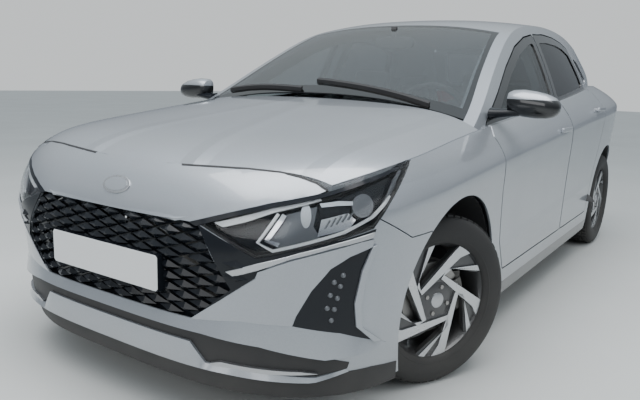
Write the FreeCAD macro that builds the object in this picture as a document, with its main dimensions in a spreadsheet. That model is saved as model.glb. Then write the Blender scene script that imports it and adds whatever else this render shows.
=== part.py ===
import FreeCAD, Part
import math
import os
import Sketcher
from types import SimpleNamespace
from FreeCAD import Placement, Rotation, Vector

# A small five-door hatchback, in millimetres: X forward, Y to the car's left, Z up.
# The origin is on the ground, under the middle of the car's length and width.

# The driving sizes, one row of the sheet each: name, value, what it measures.
SIZES = [
    ("overall_length", 4065, "front bumper to rear bumper"),
    ("overall_width", 1775, "over the doors, without mirrors"),
    ("overall_height", 1450, "ground to roof"),
    ("wheelbase", 2580, "front axle to rear axle"),
    ("front_overhang", 850, "front axle to the front bumper"),
    ("front_track", 1539, "between the front tyres' middles"),
    ("rear_track", 1543, "between the rear tyres' middles"),
    ("rim_diameter", 406, "bead seat of the wheel"),
    ("rim_width", 165, "between the wheel's flanges"),
    ("tyre_width", 195, "section width"),
    ("tyre_sidewall", 107, "bead seat to tread"),
    ("arch_radius", 378, "wheel opening"),
    ("arch_lead", 14, "front wheel opening ahead of the axle"),
    ("kingpin_inset", 80, "steering axis inboard of the wheel's middle"),
    ("steer_rest", 26, "degrees that the front wheels are turned to the right"),
    ("shut_gap", 7, "between a moving panel and its neighbour"),
    ("seat_gap", 0.3, "between pieces that seat on each other"),
    ("overrun", 60, "how far a cutting tool passes what it cuts"),
    ("cover_wall", 8, "bumper covers"),
    ("wing_wall", 8, "front wings"),
    ("bonnet_depth", 22, "bonnet with its inner frame"),
    ("roof_depth", 28, "roof with its lining"),
    ("door_depth", 92, "door below its window"),
    ("frame_depth", 34, "door frame round its window"),
    ("door_skin", 16, "door's outer layer, which reaches the shut line"),
    ("door_step", 14, "door's edges behind its outer layer, set back"),
    ("tailgate_depth", 46, "tailgate with its inner frame"),
    ("tailgate_gap", 6, "tailgate's own share of its shut gap"),
    ("post_clearance", 18, "door's inner face to the pillar"),
    ("post_depth", 46, "pillars behind the doors"),
    ("glass_depth", 5, "window glass"),
    ("handle_length", 190, "door handle"),
    ("handle_depth", 16, "door handle, across the car"),
    ("handle_height", 24, "door handle"),
    ("glass_sink", 6, "side glass below the frame's face"),
    ("door_lap", 38, "door edge over its opening"),
    ("window_radius", 40, "window corners"),
    ("lamp_wall", 4, "lamp lens"),
    ("lamp_depth", 90, "headlamp housing behind the lens"),
    ("grille_sink", 22, "grille face behind the bumper's face"),
    ("grille_wall", 12, "grille backing"),
    ("scale_width", 96, "openings between the grille's scales, across"),
    ("scale_height", 44, "openings between the grille's scales, up and down"),
    ("scale_bar", 16, "bars between the grille's openings"),
    ("plate_length", 520, "front number plate"),
    ("plate_height", 112, "front number plate"),
    ("hinge_setback", 45, "door hinge behind the door's leading edge"),
    ("hinge_inset", 8, "door hinge inboard of the widest skin"),
    ("ditch_width", 52, "roof rail beside the roof panel"),
    ("rim_flange", 13, "wheel flange above the bead seat"),
    ("rim_wall", 8, "wheel barrel"),
    ("rim_well", 18, "wheel barrel's drop below the bead seat"),
    ("rim_face_depth", 24, "wheel face, front to back"),
    ("rim_face_set", 6, "wheel face behind the flange's edge"),
    ("hub_radius", 70, "wheel hub"),
    ("hub_depth", 42, "wheel hub behind the wheel face"),
    ("spoke_count", 5, "openings in the wheel face"),
    ("shoulder", 26, "tyre shoulder"),
    ("wheel_clearance", 20, "tyre to the panels beside it"),
    ("disc_radius", 140, "brake disc"),
    ("disc_depth", 22, "brake disc"),
    ("carrier_radius", 52, "hub carrier"),
    ("pin_radius", 14, "ball pins and stub pins"),
    ("floor_height", 190, "top of the cabin floor"),
    ("floor_depth", 28, "cabin floor with its ribs"),
    ("tunnel_width", 240, "tunnel in the floor"),
    ("tunnel_height", 130, "tunnel in the floor"),
    ("pad_length", 110, "jacking pads under the floor"),
    ("pad_width", 70, "jacking pads under the floor"),
    ("pad_depth", 12, "jacking pads under the floor"),
    ("boot_height", 420, "top of the boot floor"),
    ("panel_depth", 20, "bulkheads and inner panels"),
    ("rail_width", 70, "chassis rails"),
    ("rail_height", 110, "chassis rails"),
    ("engine_length", 470, "engine and gearbox, along the car"),
    ("engine_width", 720, "engine and gearbox, across the car"),
    ("engine_height", 430, "engine and gearbox"),
    ("seat_width", 500, "front seat"),
    ("seat_length", 500, "front seat cushion"),
    ("cushion_depth", 150, "seat cushion"),
    ("back_height", 590, "seat back"),
    ("back_depth", 130, "seat back"),
    ("headrest_height", 150, "headrest"),
    ("headrest_width", 250, "headrest"),
    ("seat_radius", 45, "seat corners"),
    ("wheel_grip_radius", 182, "steering wheel, middle of its rim"),
    ("wheel_grip", 15, "steering wheel, half its rim's thickness"),
    ("mirror_length", 110, "door mirror, front to back"),
    ("mirror_width", 235, "door mirror, across"),
    ("mirror_height", 112, "door mirror"),
    ("exhaust_radius", 26, "exhaust pipe"),
    ("silencer_radius", 85, "rear silencer"),
    ("tank_length", 380, "fuel tank"),
    ("tank_width", 600, "fuel tank"),
    ("tank_depth", 125, "fuel tank"),
    ("seat_pan_height", 330, "top of the floor under the rear seat"),
    ("subframe_height", 40, "front subframe's beams"),
    ("subframe_ground", 160, "underside of the front suspension's arms"),
    ("beam_width", 70, "rear axle beam"),
    ("dash_length", 330, "dashboard, front to back"),
    ("dash_height", 345, "dashboard"),
    ("console_width", 190, "console between the front seats"),
    ("liner_wall", 5, "wheel arch liners"),
    ("rear_seat_width", 1260, "rear seat"),
    ("rear_seat_length", 470, "rear seat cushion"),
    ("wiper_width", 16, "wiper arm"),
]

doc = FreeCAD.newDocument("hatchback")
sheet = doc.addObject("Spreadsheet::Sheet", "sizes")
for row, (alias, value, note) in enumerate(SIZES, 1):
    sheet.set("A%d" % row, alias)
    sheet.set("B%d" % row, str(value))
    sheet.setAlias("B%d" % row, alias)
    sheet.set("C%d" % row, note)
doc.recompute()
mm = SimpleNamespace(**{alias: float(sheet.get(alias)) for alias, _, _ in SIZES})

# The places that the sizes give.
nose_x = mm.overall_length / 2
tail_x = -mm.overall_length / 2
front_axle_x = nose_x - mm.front_overhang
rear_axle_x = front_axle_x - mm.wheelbase
rear_overhang = rear_axle_x - tail_x
half_width = mm.overall_width / 2
tyre_radius = mm.rim_diameter / 2 + mm.tyre_sidewall
kingpin_y = mm.front_track / 2 - mm.kingpin_inset


def along(zone, share):
    """The X of a share of the nose, of the wheelbase or of the tail."""
    if zone == "nose":
        return front_axle_x + share * mm.front_overhang
    if zone == "base":
        return front_axle_x - share * mm.wheelbase
    return rear_axle_x - share * rear_overhang


def place(zone, x_share, y_share, z_share):
    """A point from its shares: Y of the half width, Z of the height."""
    return Vector(along(zone, x_share), y_share * half_width, z_share * mm.overall_height)


def mirrored(point):
    return Vector(point.x, -point.y, point.z)


# Surfaces are smooth sheets over a net of control points, worked out from tables of shares.

def clamped(count):
    """Knots and multiplicities of an even cubic row of control points."""
    spans = count - 3
    return [float(i) for i in range(spans + 1)], [4] + [1] * (spans - 1) + [4]


def sheet_surface(net):
    """A smooth sheet whose control points are the rows of a net."""
    u_knots, u_mults = clamped(len(net))
    v_knots, v_mults = clamped(len(net[0]))
    surface = Part.BSplineSurface()
    surface.buildFromPolesMultsKnots(net, u_mults, v_mults, u_knots, v_knots, False, False, 3, 3)
    return surface


def normal_at(net, i, j):
    """The net's own normal at one of its points, from the points about it."""
    rows, cols = len(net), len(net[0])
    along_u = net[min(i + 1, rows - 1)][j] - net[max(i - 1, 0)][j]
    along_v = net[i][min(j + 1, cols - 1)] - net[i][max(j - 1, 0)]
    across = along_u.cross(along_v)
    return across.normalize()


def sunk(net, depth, way=None):
    """The net moved inwards, along one way or else along its own normals."""
    return [[net[i][j] + (way or normal_at(net, i, j) * -1) * depth for j in range(len(net[0]))]
            for i in range(len(net))]


def solid_from(faces):
    """One closed solid from faces that meet at their edges."""
    shell = Part.Shell(faces)
    shell.sewShape()
    solid = Part.makeSolid(shell)
    if solid.Volume < 0:
        solid.reverse()
    return solid


def wall(net, depth, sink=0.0, first=None, last=None, way=None):
    """A panel between a sheet and the same sheet moved inwards, from one station to another."""
    outer = sheet_surface(sunk(net, sink, way) if sink else net)
    inner = sheet_surface(sunk(net, sink + depth, way))
    if first is not None:
        for surface in (outer, inner):
            _, _, v_low, v_high = surface.bounds()
            surface.segment(first - 1.0, last - 1.0, v_low, v_high)
    u0, u1, v0, v1 = outer.bounds()
    faces = [outer.toShape(), inner.toShape()]
    for value in (v0, v1):
        faces.append(Part.makeRuledSurface(outer.vIso(value).toShape(), inner.vIso(value).toShape()))
    for value in (u0, u1):
        faces.append(Part.makeRuledSurface(outer.uIso(value).toShape(), inner.uIso(value).toShape()))
    return solid_from(faces)


def rounded(points, radius=0.0):
    """A closed outline of straight sides with its corners rounded."""
    edges = []
    count = len(points)
    starts, ends, arcs = [], [], []
    for i in range(count):
        here, before, after = points[i], points[i - 1], points[(i + 1) % count]
        back, ahead = before - here, after - here
        turn = back.getAngle(ahead)
        reach = radius / math.tan(turn / 2)
        reach = min(reach, 0.45 * back.Length, 0.45 * ahead.Length)
        if radius <= 0 or turn > math.radians(178):
            starts.append(here)
            ends.append(here)
            arcs.append(None)
            continue
        enter = here + back.normalize() * reach
        leave = here + ahead.normalize() * reach
        bow = reach * math.tan(turn / 2)
        middle_way = ((enter + leave) * 0.5 - here).normalize()
        middle = here + middle_way * (bow / math.sin(turn / 2) - bow)
        starts.append(enter)
        ends.append(leave)
        arcs.append(Part.Arc(enter, middle, leave).toShape())
    for i in range(count):
        if arcs[i]:
            edges.append(arcs[i])
        edges.append(Part.makeLine(ends[i], starts[(i + 1) % count]))
    return Part.Wire(edges)


def prism(wire, way):
    """A wire filled and swept along a vector."""
    return Part.Face(wire).extrude(way)


def side_outline(zone, shares, radius=0.0, grow=0.0):
    """A closed outline in the side view, from shares of a zone's length and of the height."""
    wire = rounded([Vector(along(zone, x), 0, z * mm.overall_height) for x, z in shares], radius)
    return wire.makeOffset2D(grow) if grow else wire


def side_cutter(wire, inner_y, outer_y):
    """The side outline swept from one Y to another."""
    moved = wire.copy()
    moved.translate(Vector(0, inner_y, 0))
    return prism(moved, Vector(0, outer_y - inner_y, 0))


def front_outline(shares, radius=0.0, grow=0.0):
    """A closed outline in the front view, from shares of the half width and of the height."""
    wire = rounded([Vector(0, y * half_width, z * mm.overall_height) for y, z in shares], radius)
    return wire.makeOffset2D(grow) if grow else wire


def front_cutter(wire, back_x, front_x):
    moved = wire.copy()
    moved.translate(Vector(back_x, 0, 0))
    return prism(moved, Vector(front_x - back_x, 0, 0))


def slanted_cutter(points, way, reach, grow=0.0):
    """A closed outline through points on a skin, swept both ways along a slanted line."""
    line = Vector(*way).normalize()
    middle = points[0]
    flat = [p - line * ((p - middle).dot(line)) for p in points]
    wire = Part.makePolygon(flat + [flat[0]])
    if grow:
        wire = wire.makeOffset2D(grow)
    wire.translate(line * -reach)
    return prism(wire, line * (2 * reach))


def right_of(shape):
    return shape.mirror(Vector(0, 0, 0), Vector(0, 1, 0))


def joined(shapes):
    """Pieces made one, with the seams between their faces cleaned."""
    whole = shapes[0]
    if len(shapes) > 1:
        whole = shapes[0].fuse(shapes[1:])
    return whole


def box_between(low, high):
    """A block between two corners."""
    return Part.makeBox(high.x - low.x, high.y - low.y, high.z - low.z, low)


parts = []


def keep(label, shape, at=None):
    """A finished sub-part under its own label."""
    feature = doc.addObject("Part::Feature", label)
    feature.Label = label
    solids = shape if isinstance(shape, list) else [shape]
    feature.Shape = Part.makeCompound(solids) if len(solids) > 1 else solids[0]
    if at:
        feature.Placement = at
    parts.append(feature)
    return feature


# The lower body skin. One row for each station round the car's left side, from the middle
# of the nose to the middle of the tail: the widest line, then the top edge, then the bottom
# edge, each as zone, X share, Y share and height share.
SKIN_SHARES = [
    ("nose", 0.978, 0.000, 0.345, "nose", 0.967, 0.000, 0.449, "nose", 0.944, 0.000, 0.131),
    ("nose", 0.978, 0.180, 0.345, "nose", 0.967, 0.170, 0.450, "nose", 0.944, 0.180, 0.131),
    ("nose", 0.973, 0.370, 0.355, "nose", 0.965, 0.340, 0.453, "nose", 0.935, 0.370, 0.126),
    ("nose", 0.950, 0.550, 0.390, "nose", 0.920, 0.530, 0.472, "nose", 0.900, 0.550, 0.115),
    ("nose", 0.888, 0.715, 0.425, "nose", 0.835, 0.695, 0.505, "nose", 0.815, 0.715, 0.105),
    ("nose", 0.760, 0.858, 0.448, "nose", 0.700, 0.810, 0.537, "nose", 0.690, 0.845, 0.102),
    ("nose", 0.590, 0.945, 0.468, "nose", 0.540, 0.890, 0.562, "nose", 0.540, 0.915, 0.104),
    ("nose", 0.400, 0.982, 0.485, "nose", 0.370, 0.918, 0.577, "nose", 0.380, 0.945, 0.108),
    ("nose", 0.200, 0.996, 0.499, "nose", 0.190, 0.914, 0.586, "nose", 0.200, 0.955, 0.112),
    ("base", 0.000, 1.001, 0.512, "base", 0.000, 0.906, 0.598, "base", 0.000, 0.958, 0.114),
    ("base", 0.110, 1.001, 0.526, "base", 0.110, 0.898, 0.617, "base", 0.110, 0.958, 0.115),
    ("base", 0.260, 1.000, 0.542, "base", 0.260, 0.902, 0.637, "base", 0.260, 0.958, 0.115),
    ("base", 0.430, 1.000, 0.562, "base", 0.430, 0.902, 0.662, "base", 0.430, 0.958, 0.115),
    ("base", 0.600, 1.000, 0.584, "base", 0.600, 0.894, 0.688, "base", 0.600, 0.958, 0.115),
    ("base", 0.770, 1.001, 0.606, "base", 0.770, 0.878, 0.712, "base", 0.770, 0.958, 0.115),
    ("base", 0.900, 1.002, 0.624, "base", 0.900, 0.852, 0.732, "base", 0.900, 0.956, 0.116),
    ("tail", 0.000, 1.001, 0.640, "tail", 0.000, 0.828, 0.745, "tail", 0.000, 0.952, 0.122),
    ("tail", 0.250, 0.994, 0.650, "tail", 0.250, 0.806, 0.747, "tail", 0.250, 0.940, 0.140),
    ("tail", 0.500, 0.972, 0.655, "tail", 0.480, 0.775, 0.742, "tail", 0.480, 0.905, 0.152),
    ("tail", 0.730, 0.920, 0.650, "tail", 0.660, 0.715, 0.733, "tail", 0.690, 0.840, 0.158),
    ("tail", 0.890, 0.810, 0.600, "tail", 0.785, 0.600, 0.727, "tail", 0.850, 0.730, 0.162),
    ("tail", 0.975, 0.610, 0.520, "tail", 0.850, 0.440, 0.724, "tail", 0.935, 0.560, 0.165),
    ("tail", 1.000, 0.380, 0.440, "tail", 0.875, 0.250, 0.723, "tail", 0.965, 0.350, 0.166),
    ("tail", 1.001, 0.170, 0.420, "tail", 0.880, 0.120, 0.723, "tail", 0.970, 0.160, 0.166),
    ("tail", 1.001, 0.000, 0.415, "tail", 0.880, 0.000, 0.723, "tail", 0.970, 0.000, 0.166),
]
# Between the bottom edge and the widest line: share of the rise, share of the way out.
LOWER_SHARES = [(0.0, 0.0), (0.10, 0.34), (0.28, 0.50), (0.50, 0.60), (0.72, 0.78), (0.90, 0.98)]
# Between the widest line and the top edge: share of the rise, share of the way in.
UPPER_SHARES = [(0.0, 0.0), (0.14, 0.05), (0.42, 0.24), (0.75, 0.60), (1.0, 1.0)]


def between(low, high, rise_share, out_share):
    """A point part of the way up and part of the way across."""
    return Vector(low.x + (high.x - low.x) * out_share,
                  low.y + (high.y - low.y) * out_share,
                  low.z + (high.z - low.z) * rise_share)


def skin_station(shares):
    widest = place(*shares[0:4])
    top = place(*shares[4:8])
    bottom = place(*shares[8:12])
    lower = [between(bottom, widest, rise, out) for rise, out in LOWER_SHARES]
    upper = [between(widest, top, rise, way_in) for rise, way_in in UPPER_SHARES]
    return lower + upper


left_skin = [skin_station(shares) for shares in SKIN_SHARES]
right_skin = [[mirrored(p) for p in station] for station in left_skin]
# Right round the car: once with its ends at the tail, and once with them at the nose.
STATIONS = len(left_skin)
nose_net = list(reversed(right_skin[1:])) + left_skin
tail_net = left_skin + list(reversed(right_skin[:-1]))

# The bonnet and the nose panel: the middle line of each station, whose edge is the skin's top.
BONNET_MIDDLE_SHARES = [
    ("nose", 0.967, 0.449), ("nose", 0.945, 0.476), ("nose", 0.885, 0.527), ("nose", 0.780, 0.570),
    ("nose", 0.630, 0.597), ("nose", 0.440, 0.615), ("nose", 0.210, 0.635), ("nose", -0.040, 0.655),
    ("base", 0.110, 0.680), ("base", 0.140, 0.686),
]
BONNET_EDGE_STATIONS = range(2, 12)
# Across the bonnet: share of the half width, share of the fall to the edge.
BONNET_CROWN_SHARES = [(0.0, 0.0), (0.30, 0.03), (0.60, 0.13), (0.80, 0.33), (0.93, 0.66), (1.0, 1.0)]

# The windscreen and roof: middle line and edge of each station, as X zone and share, then
# height share, with the edge's share of the half width.
CANOPY_SHARES = [
    ("base", 0.060, 0.640, "base", 0.105, 0.872, 0.607),
    ("base", 0.130, 0.688, "base", 0.170, 0.845, 0.660),
    ("base", 0.215, 0.772, "base", 0.245, 0.795, 0.738),
    ("base", 0.315, 0.865, "base", 0.335, 0.740, 0.825),
    ("base", 0.400, 0.928, "base", 0.420, 0.695, 0.900),
    ("base", 0.480, 0.970, "base", 0.500, 0.672, 0.942),
    ("base", 0.590, 0.993, "base", 0.600, 0.665, 0.966),
    ("base", 0.725, 1.000, "base", 0.730, 0.662, 0.972),
    ("base", 0.860, 0.991, "base", 0.865, 0.652, 0.964),
    ("base", 0.975, 0.972, "base", 0.975, 0.637, 0.946),
    ("tail", 0.300, 0.950, "tail", 0.280, 0.620, 0.920),
]
CANOPY_CROWN_SHARES = [(0.0, 0.0), (0.30, 0.06), (0.60, 0.27), (0.85, 0.68), (1.0, 1.0)]

# Under each canopy edge point, the foot of the side window's sheet: zone, X share, Y share,
# height share.
BELT_FOOT_SHARES = [
    ("base", 0.100, 0.915, 0.560), ("base", 0.165, 0.915, 0.568), ("base", 0.250, 0.918, 0.580),
    ("base", 0.335, 0.918, 0.592), ("base", 0.420, 0.918, 0.603), ("base", 0.505, 0.915, 0.617),
    ("base", 0.610, 0.908, 0.633), ("base", 0.735, 0.898, 0.652), ("base", 0.870, 0.875, 0.672),
    ("tail", 0.050, 0.845, 0.690), ("tail", 0.735, 0.715, 0.693),
]
PANE_BULGE_SHARES = [(0.0, 0.0), (0.25, 0.20), (0.5, 0.43), (0.75, 0.69), (1.0, 1.0)]

# The rear screen: middle line and edge of each row, from the roof's end to the tail lamps.
SCREEN_SHARES = [
    ("tail", 0.300, 0.950, "tail", 0.280, 0.620, 0.920),
    ("tail", 0.460, 0.905, "tail", 0.400, 0.655, 0.868),
    ("tail", 0.640, 0.840, "tail", 0.530, 0.690, 0.815),
    ("tail", 0.790, 0.775, "tail", 0.640, 0.705, 0.765),
    ("tail", 0.890, 0.715, "tail", 0.720, 0.700, 0.718),
    ("tail", 0.915, 0.690, "tail", 0.745, 0.695, 0.695),
]
SCREEN_CROWN_SHARES = [(0.0, 0.0), (0.35, 0.08), (0.65, 0.32), (0.88, 0.70), (1.0, 1.0)]


def crowned_row(middle, edge, crown_shares):
    """A row across the car from the left edge over the middle to the right edge."""
    left = [Vector(middle.x + (edge.x - middle.x) * fall, edge.y * out, middle.z + (edge.z - middle.z) * fall)
            for out, fall in crown_shares]
    return list(reversed(left[1:])) + [mirrored(p) for p in left]


def bonnet_net(edge_gap):
    """The sheet over the nose and the engine bay, its edges inboard of the skin's by a gap."""
    rows = []
    for station, (zone, x_share, z_share) in zip(BONNET_EDGE_STATIONS, BONNET_MIDDLE_SHARES):
        edge = left_skin[station][-1]
        inboard = Vector(edge.x, edge.y - edge_gap, edge.z)
        rows.append(crowned_row(place(zone, x_share, 0, z_share), inboard, BONNET_CROWN_SHARES))
    return rows


def canopy_rows(table, crown_shares):
    rows = []
    for zone, x_share, z_share, edge_zone, edge_x, edge_y, edge_z in table:
        middle = place(zone, x_share, 0, z_share)
        rows.append(crowned_row(middle, place(edge_zone, edge_x, edge_y, edge_z), crown_shares))
    return rows


top_net = bonnet_net(mm.shut_gap)
nose_top_net = bonnet_net(0)
canopy_net = canopy_rows(CANOPY_SHARES, CANOPY_CROWN_SHARES)
screen_net = canopy_rows(SCREEN_SHARES, SCREEN_CROWN_SHARES)


def pane_net():
    """The side windows' sheet, from below the belt to the roof rail."""
    columns = []
    for foot_shares, row in zip(BELT_FOOT_SHARES, canopy_net):
        foot, rail = place(*foot_shares), row[0]
        columns.append([Vector(foot.x + (rail.x - foot.x) * rise,
                               foot.y + (rail.y - foot.y) * lean,
                               foot.z + (rail.z - foot.z) * rise) for rise, lean in PANE_BULGE_SHARES])
    return columns


pane_columns = pane_net()


def nose_wall(depth, left_station, sink=0.0):
    """The skin round the nose, as far as one station on both sides."""
    middle = STATIONS - 1
    return wall(nose_net, depth, sink, middle - left_station, middle + left_station)


INBOARD = Vector(0, -1, 0)
DOWN = Vector(0, 0, -1)


def corner_wall(depth, first, last, sink=0.0):
    """The left front corner's skin between two stations, with an even wall."""
    middle = STATIONS - 1
    return wall(nose_net, depth, sink, middle + first, middle + last)


def flank_wall(depth, first, last, sink=0.0):
    """The left side's skin between two stations, with its depth measured straight across."""
    middle = STATIONS - 1
    return wall(nose_net, depth, sink, middle + first, middle + last, INBOARD)


def tail_wall(depth, left_station, sink=0.0):
    """The skin round the tail, from one station on the left to its twin."""
    last = len(tail_net) - 1
    return wall(tail_net, depth, sink, left_station, last - left_station)


def axle_cylinder(x, radius, inner_y, outer_y):
    return Part.makeCylinder(radius, outer_y - inner_y, Vector(x, inner_y, tyre_radius), Vector(0, 1, 0))


# The outlines of doors, windows and lamps in the side view, from shares of the wheelbase
# behind the front axle and of the height.
FRONT_DOOR_SHARES = [
    (0.147, 0.600), (0.172, 0.632), (0.262, 0.712), (0.350, 0.797), (0.435, 0.868), (0.510, 0.908),
    (0.574, 0.926), (0.574, 0.205), (0.200, 0.205), (0.168, 0.300), (0.150, 0.455),
]
REAR_DOOR_SHARES = [
    (0.577, 0.927), (0.660, 0.936), (0.740, 0.934), (0.810, 0.922), (0.862, 0.902), (0.893, 0.800),
    (0.903, 0.720), (0.900, 0.600), (0.880, 0.490), (0.848, 0.380), (0.828, 0.270), (0.820, 0.205),
    (0.577, 0.205),
]
FRONT_WINDOW_SHARES = [
    (0.222, 0.642), (0.270, 0.688), (0.360, 0.772), (0.445, 0.842), (0.515, 0.880), (0.555, 0.893),
    (0.555, 0.690),
]
REAR_WINDOW_SHARES = [
    (0.600, 0.697), (0.600, 0.898), (0.660, 0.905), (0.740, 0.903), (0.800, 0.893), (0.846, 0.872),
    (0.872, 0.790), (0.880, 0.740),
]
QUARTER_WINDOW_SHARES = [(0.918, 0.750), (0.908, 0.800), (0.886, 0.868), (0.940, 0.848), (0.992, 0.762)]
# The wing ends at the front door, and at the bumper along a line from the lamp to the arch.
BUMPER_EDGE_SHARES = [(0.640, 0.480), (0.440, 0.418), (0.300, 0.418), (0.300, 0.0), (1.1, 0.0), (1.1, 0.60),
                      (0.640, 0.60)]

# Each handle's front end.
FRONT_HANDLE_SHARES = (0.480, 0.580)
REAR_HANDLE_SHARES = (0.805, 0.640)

half_gap = mm.shut_gap / 2
far_y = half_width + mm.overrun


def door_cutter(shares, grow):
    wire = side_outline("base", shares, mm.window_radius / 2, grow)
    return side_cutter(wire, half_width / 3, far_y)


def window_cutter(shares, grow=0.0):
    wire = side_outline("base", shares, mm.window_radius / 2, grow)
    return side_cutter(wire, half_width / 3, far_y)


def handle(x_share, z_share):
    """A pull handle: a rounded bar that stands off the door on two feet."""
    low = Vector(along("base", x_share) - mm.handle_length, half_width - mm.handle_depth / 3,
                 z_share * mm.overall_height)
    bar = Part.makeBox(mm.handle_length, mm.handle_depth, mm.handle_height, low)
    bar = bar.makeFillet(mm.handle_depth * 0.4, bar.Edges)
    feet = []
    for x in (low.x + mm.handle_depth, low.x + mm.handle_length - 2 * mm.handle_depth):
        feet.append(box_between(Vector(x, low.y - mm.door_skin * 1.5, low.z + mm.handle_height / 4),
                                Vector(x + mm.handle_depth, low.y + mm.handle_depth / 2,
                                       low.z + mm.handle_height * 0.75)))
    return bar.fuse(feet)


def door(shares, window_shares, first, last, handle_shares):
    """A left door: a skin, a body with its edges set back, and a frame round the window."""
    outline = door_cutter(shares, -half_gap)
    set_back = door_cutter(shares, -half_gap - mm.door_step)
    window = window_cutter(window_shares)
    skin = flank_wall(mm.door_skin, first, last).common(outline)
    behind_skin = flank_wall(mm.door_depth - mm.door_skin, first, last, mm.door_skin)
    body = behind_skin.common(set_back)
    frame_skin = wall(pane_columns, mm.door_skin, way=INBOARD).common(outline).cut([window, behind_skin])
    frame = wall(pane_columns, mm.frame_depth - mm.door_skin, mm.door_skin, way=INBOARD).common(set_back).cut(window)
    whole = skin.fuse([body, frame_skin, frame, handle(*handle_shares)])
    return max(whole.Solids, key=lambda solid: solid.Volume)


def pane(window_shares):
    """A left window's glass, sunk in its frame and clear of it."""
    outline = window_cutter(window_shares, -mm.seat_gap)
    return wall(pane_columns, mm.glass_depth, mm.glass_sink, way=INBOARD).common(outline)


front_door = door(FRONT_DOOR_SHARES, FRONT_WINDOW_SHARES, 9, 16, FRONT_HANDLE_SHARES)
rear_door = door(REAR_DOOR_SHARES, REAR_WINDOW_SHARES, 12, 18, REAR_HANDLE_SHARES)
keep("door_front_left", front_door)
keep("door_front_right", right_of(front_door))
keep("door_rear_left", rear_door)
keep("door_rear_right", right_of(rear_door))
front_pane = pane(FRONT_WINDOW_SHARES)
rear_pane = pane(REAR_WINDOW_SHARES)
keep("glass_front_left", front_pane)
keep("glass_front_right", right_of(front_pane))
keep("glass_rear_left", rear_pane)
keep("glass_rear_right", right_of(rear_pane))


# The wings, from the bumper and lamp to the front door.
arch_x = front_axle_x + mm.arch_lead
front_arch = axle_cylinder(arch_x, mm.arch_radius, -mm.overrun, far_y)
rear_arch = axle_cylinder(rear_axle_x, mm.arch_radius, -mm.overrun, far_y)
front_door_edge = door_cutter(FRONT_DOOR_SHARES, half_gap)
rear_door_edge = door_cutter(REAR_DOOR_SHARES, half_gap)

# Where the headlamp's edges lie: points on the skin, as zone, X share, Y share, height share.
LAMP_POINTS_SHARES = [
    ("nose", 1.10, 0.430, 0.480), ("nose", 0.900, 0.640, 0.395), ("nose", 0.640, 0.925, 0.452),
    ("nose", 0.400, 0.955, 0.582), ("nose", 0.380, 0.900, 0.640), ("nose", 1.05, 0.400, 0.640),
]
LAMP_WAY_SHARES = (0.72, 0.70, 0.0)
# The grille's mouth and the intake under it, in the front view.
GRILLE_SHARES = [(-0.425, 0.520), (0.425, 0.520), (0.440, 0.440), (0.570, 0.325), (0.400, 0.240),
                 (-0.400, 0.240), (-0.570, 0.325), (-0.440, 0.440)]
INTAKE_SHARES = [(-0.620, 0.212), (0.620, 0.212), (0.840, 0.160), (0.620, 0.135), (0.450, 0.160),
                 (-0.450, 0.160), (-0.620, 0.135), (-0.840, 0.160)]
SLOT_POINTS_SHARES = [
    ("nose", 0.640, 0.860, 0.395), ("nose", 0.640, 0.840, 0.222), ("nose", 0.830, 0.700, 0.240),
]


def skin_points(table):
    return [place(*shares) for shares in table]


lamp_cutter = slanted_cutter(skin_points(LAMP_POINTS_SHARES), LAMP_WAY_SHARES, half_width)
slot_cutter = slanted_cutter(skin_points(SLOT_POINTS_SHARES), LAMP_WAY_SHARES, half_width / 2)
bumper_zone = side_cutter(side_outline("nose", BUMPER_EDGE_SHARES, 0, -half_gap / 2), -far_y, far_y)
wing_zone = side_cutter(side_outline("nose", BUMPER_EDGE_SHARES, 0, half_gap / 2), -far_y, far_y)
door_front_zone = box_between(Vector(front_door_edge.BoundBox.XMin, 0, 0),
                              Vector(along("base", 0.147) - half_gap, far_y, mm.overall_height))


def wing():
    panel = corner_wall(mm.wing_wall, 5, 12)
    panel = panel.cut([wing_zone, lamp_cutter, front_arch, door_front_zone, front_door_edge])
    return max(panel.Solids, key=lambda solid: solid.Volume)


def pair(shape):
    return [shape, right_of(shape)]


keep("front_wings", pair(wing()))

# The front bumper cover round the nose, with the nose panel above the grille.
grille_wire = front_outline(GRILLE_SHARES, 0)
intake_wire = front_outline(INTAKE_SHARES, 0)
grille_cutter = front_cutter(grille_wire, front_axle_x, nose_x + mm.overrun)
intake_cutter = front_cutter(intake_wire, front_axle_x, nose_x + mm.overrun)


def bumper_cover():
    cover = nose_wall(mm.cover_wall, 9).common(bumper_zone)
    lamps = [lamp_cutter, right_of(lamp_cutter), slot_cutter, right_of(slot_cutter)]
    arches = [front_arch, right_of(front_arch)]
    cover = cover.cut(lamps + arches + [grille_cutter, intake_cutter])
    return [solid for solid in cover.Solids if solid.Volume > mm.overrun ** 3]


# The cut between the nose panel and the bonnet, a bow across the car seen from above.
CUT_MIDDLE_SHARE = 0.834
CUT_EDGE_SHARES = (0.700, 0.800)
BONNET_END_SHARE = 0.118


def bonnet_zone(grow):
    """The space behind the bow, seen from above."""
    middle = Vector(along("nose", CUT_MIDDLE_SHARE) + grow, 0, 0)
    left = Vector(along("nose", CUT_EDGE_SHARES[0]) + grow, CUT_EDGE_SHARES[1] * half_width, 0)
    right = mirrored(left)
    far_left = Vector(along("base", BONNET_END_SHARE) - grow, far_y, 0)
    outer_left = Vector(left.x - mm.ditch_width, far_y, 0)
    edges = [Part.Arc(left, middle, right).toShape(),
             Part.makeLine(right, mirrored(outer_left)),
             Part.makeLine(mirrored(outer_left), mirrored(far_left)),
             Part.makeLine(mirrored(far_left), far_left),
             Part.makeLine(far_left, outer_left),
             Part.makeLine(outer_left, left)]
    return prism(Part.Wire(edges), Vector(0, 0, mm.overall_height))


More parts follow.
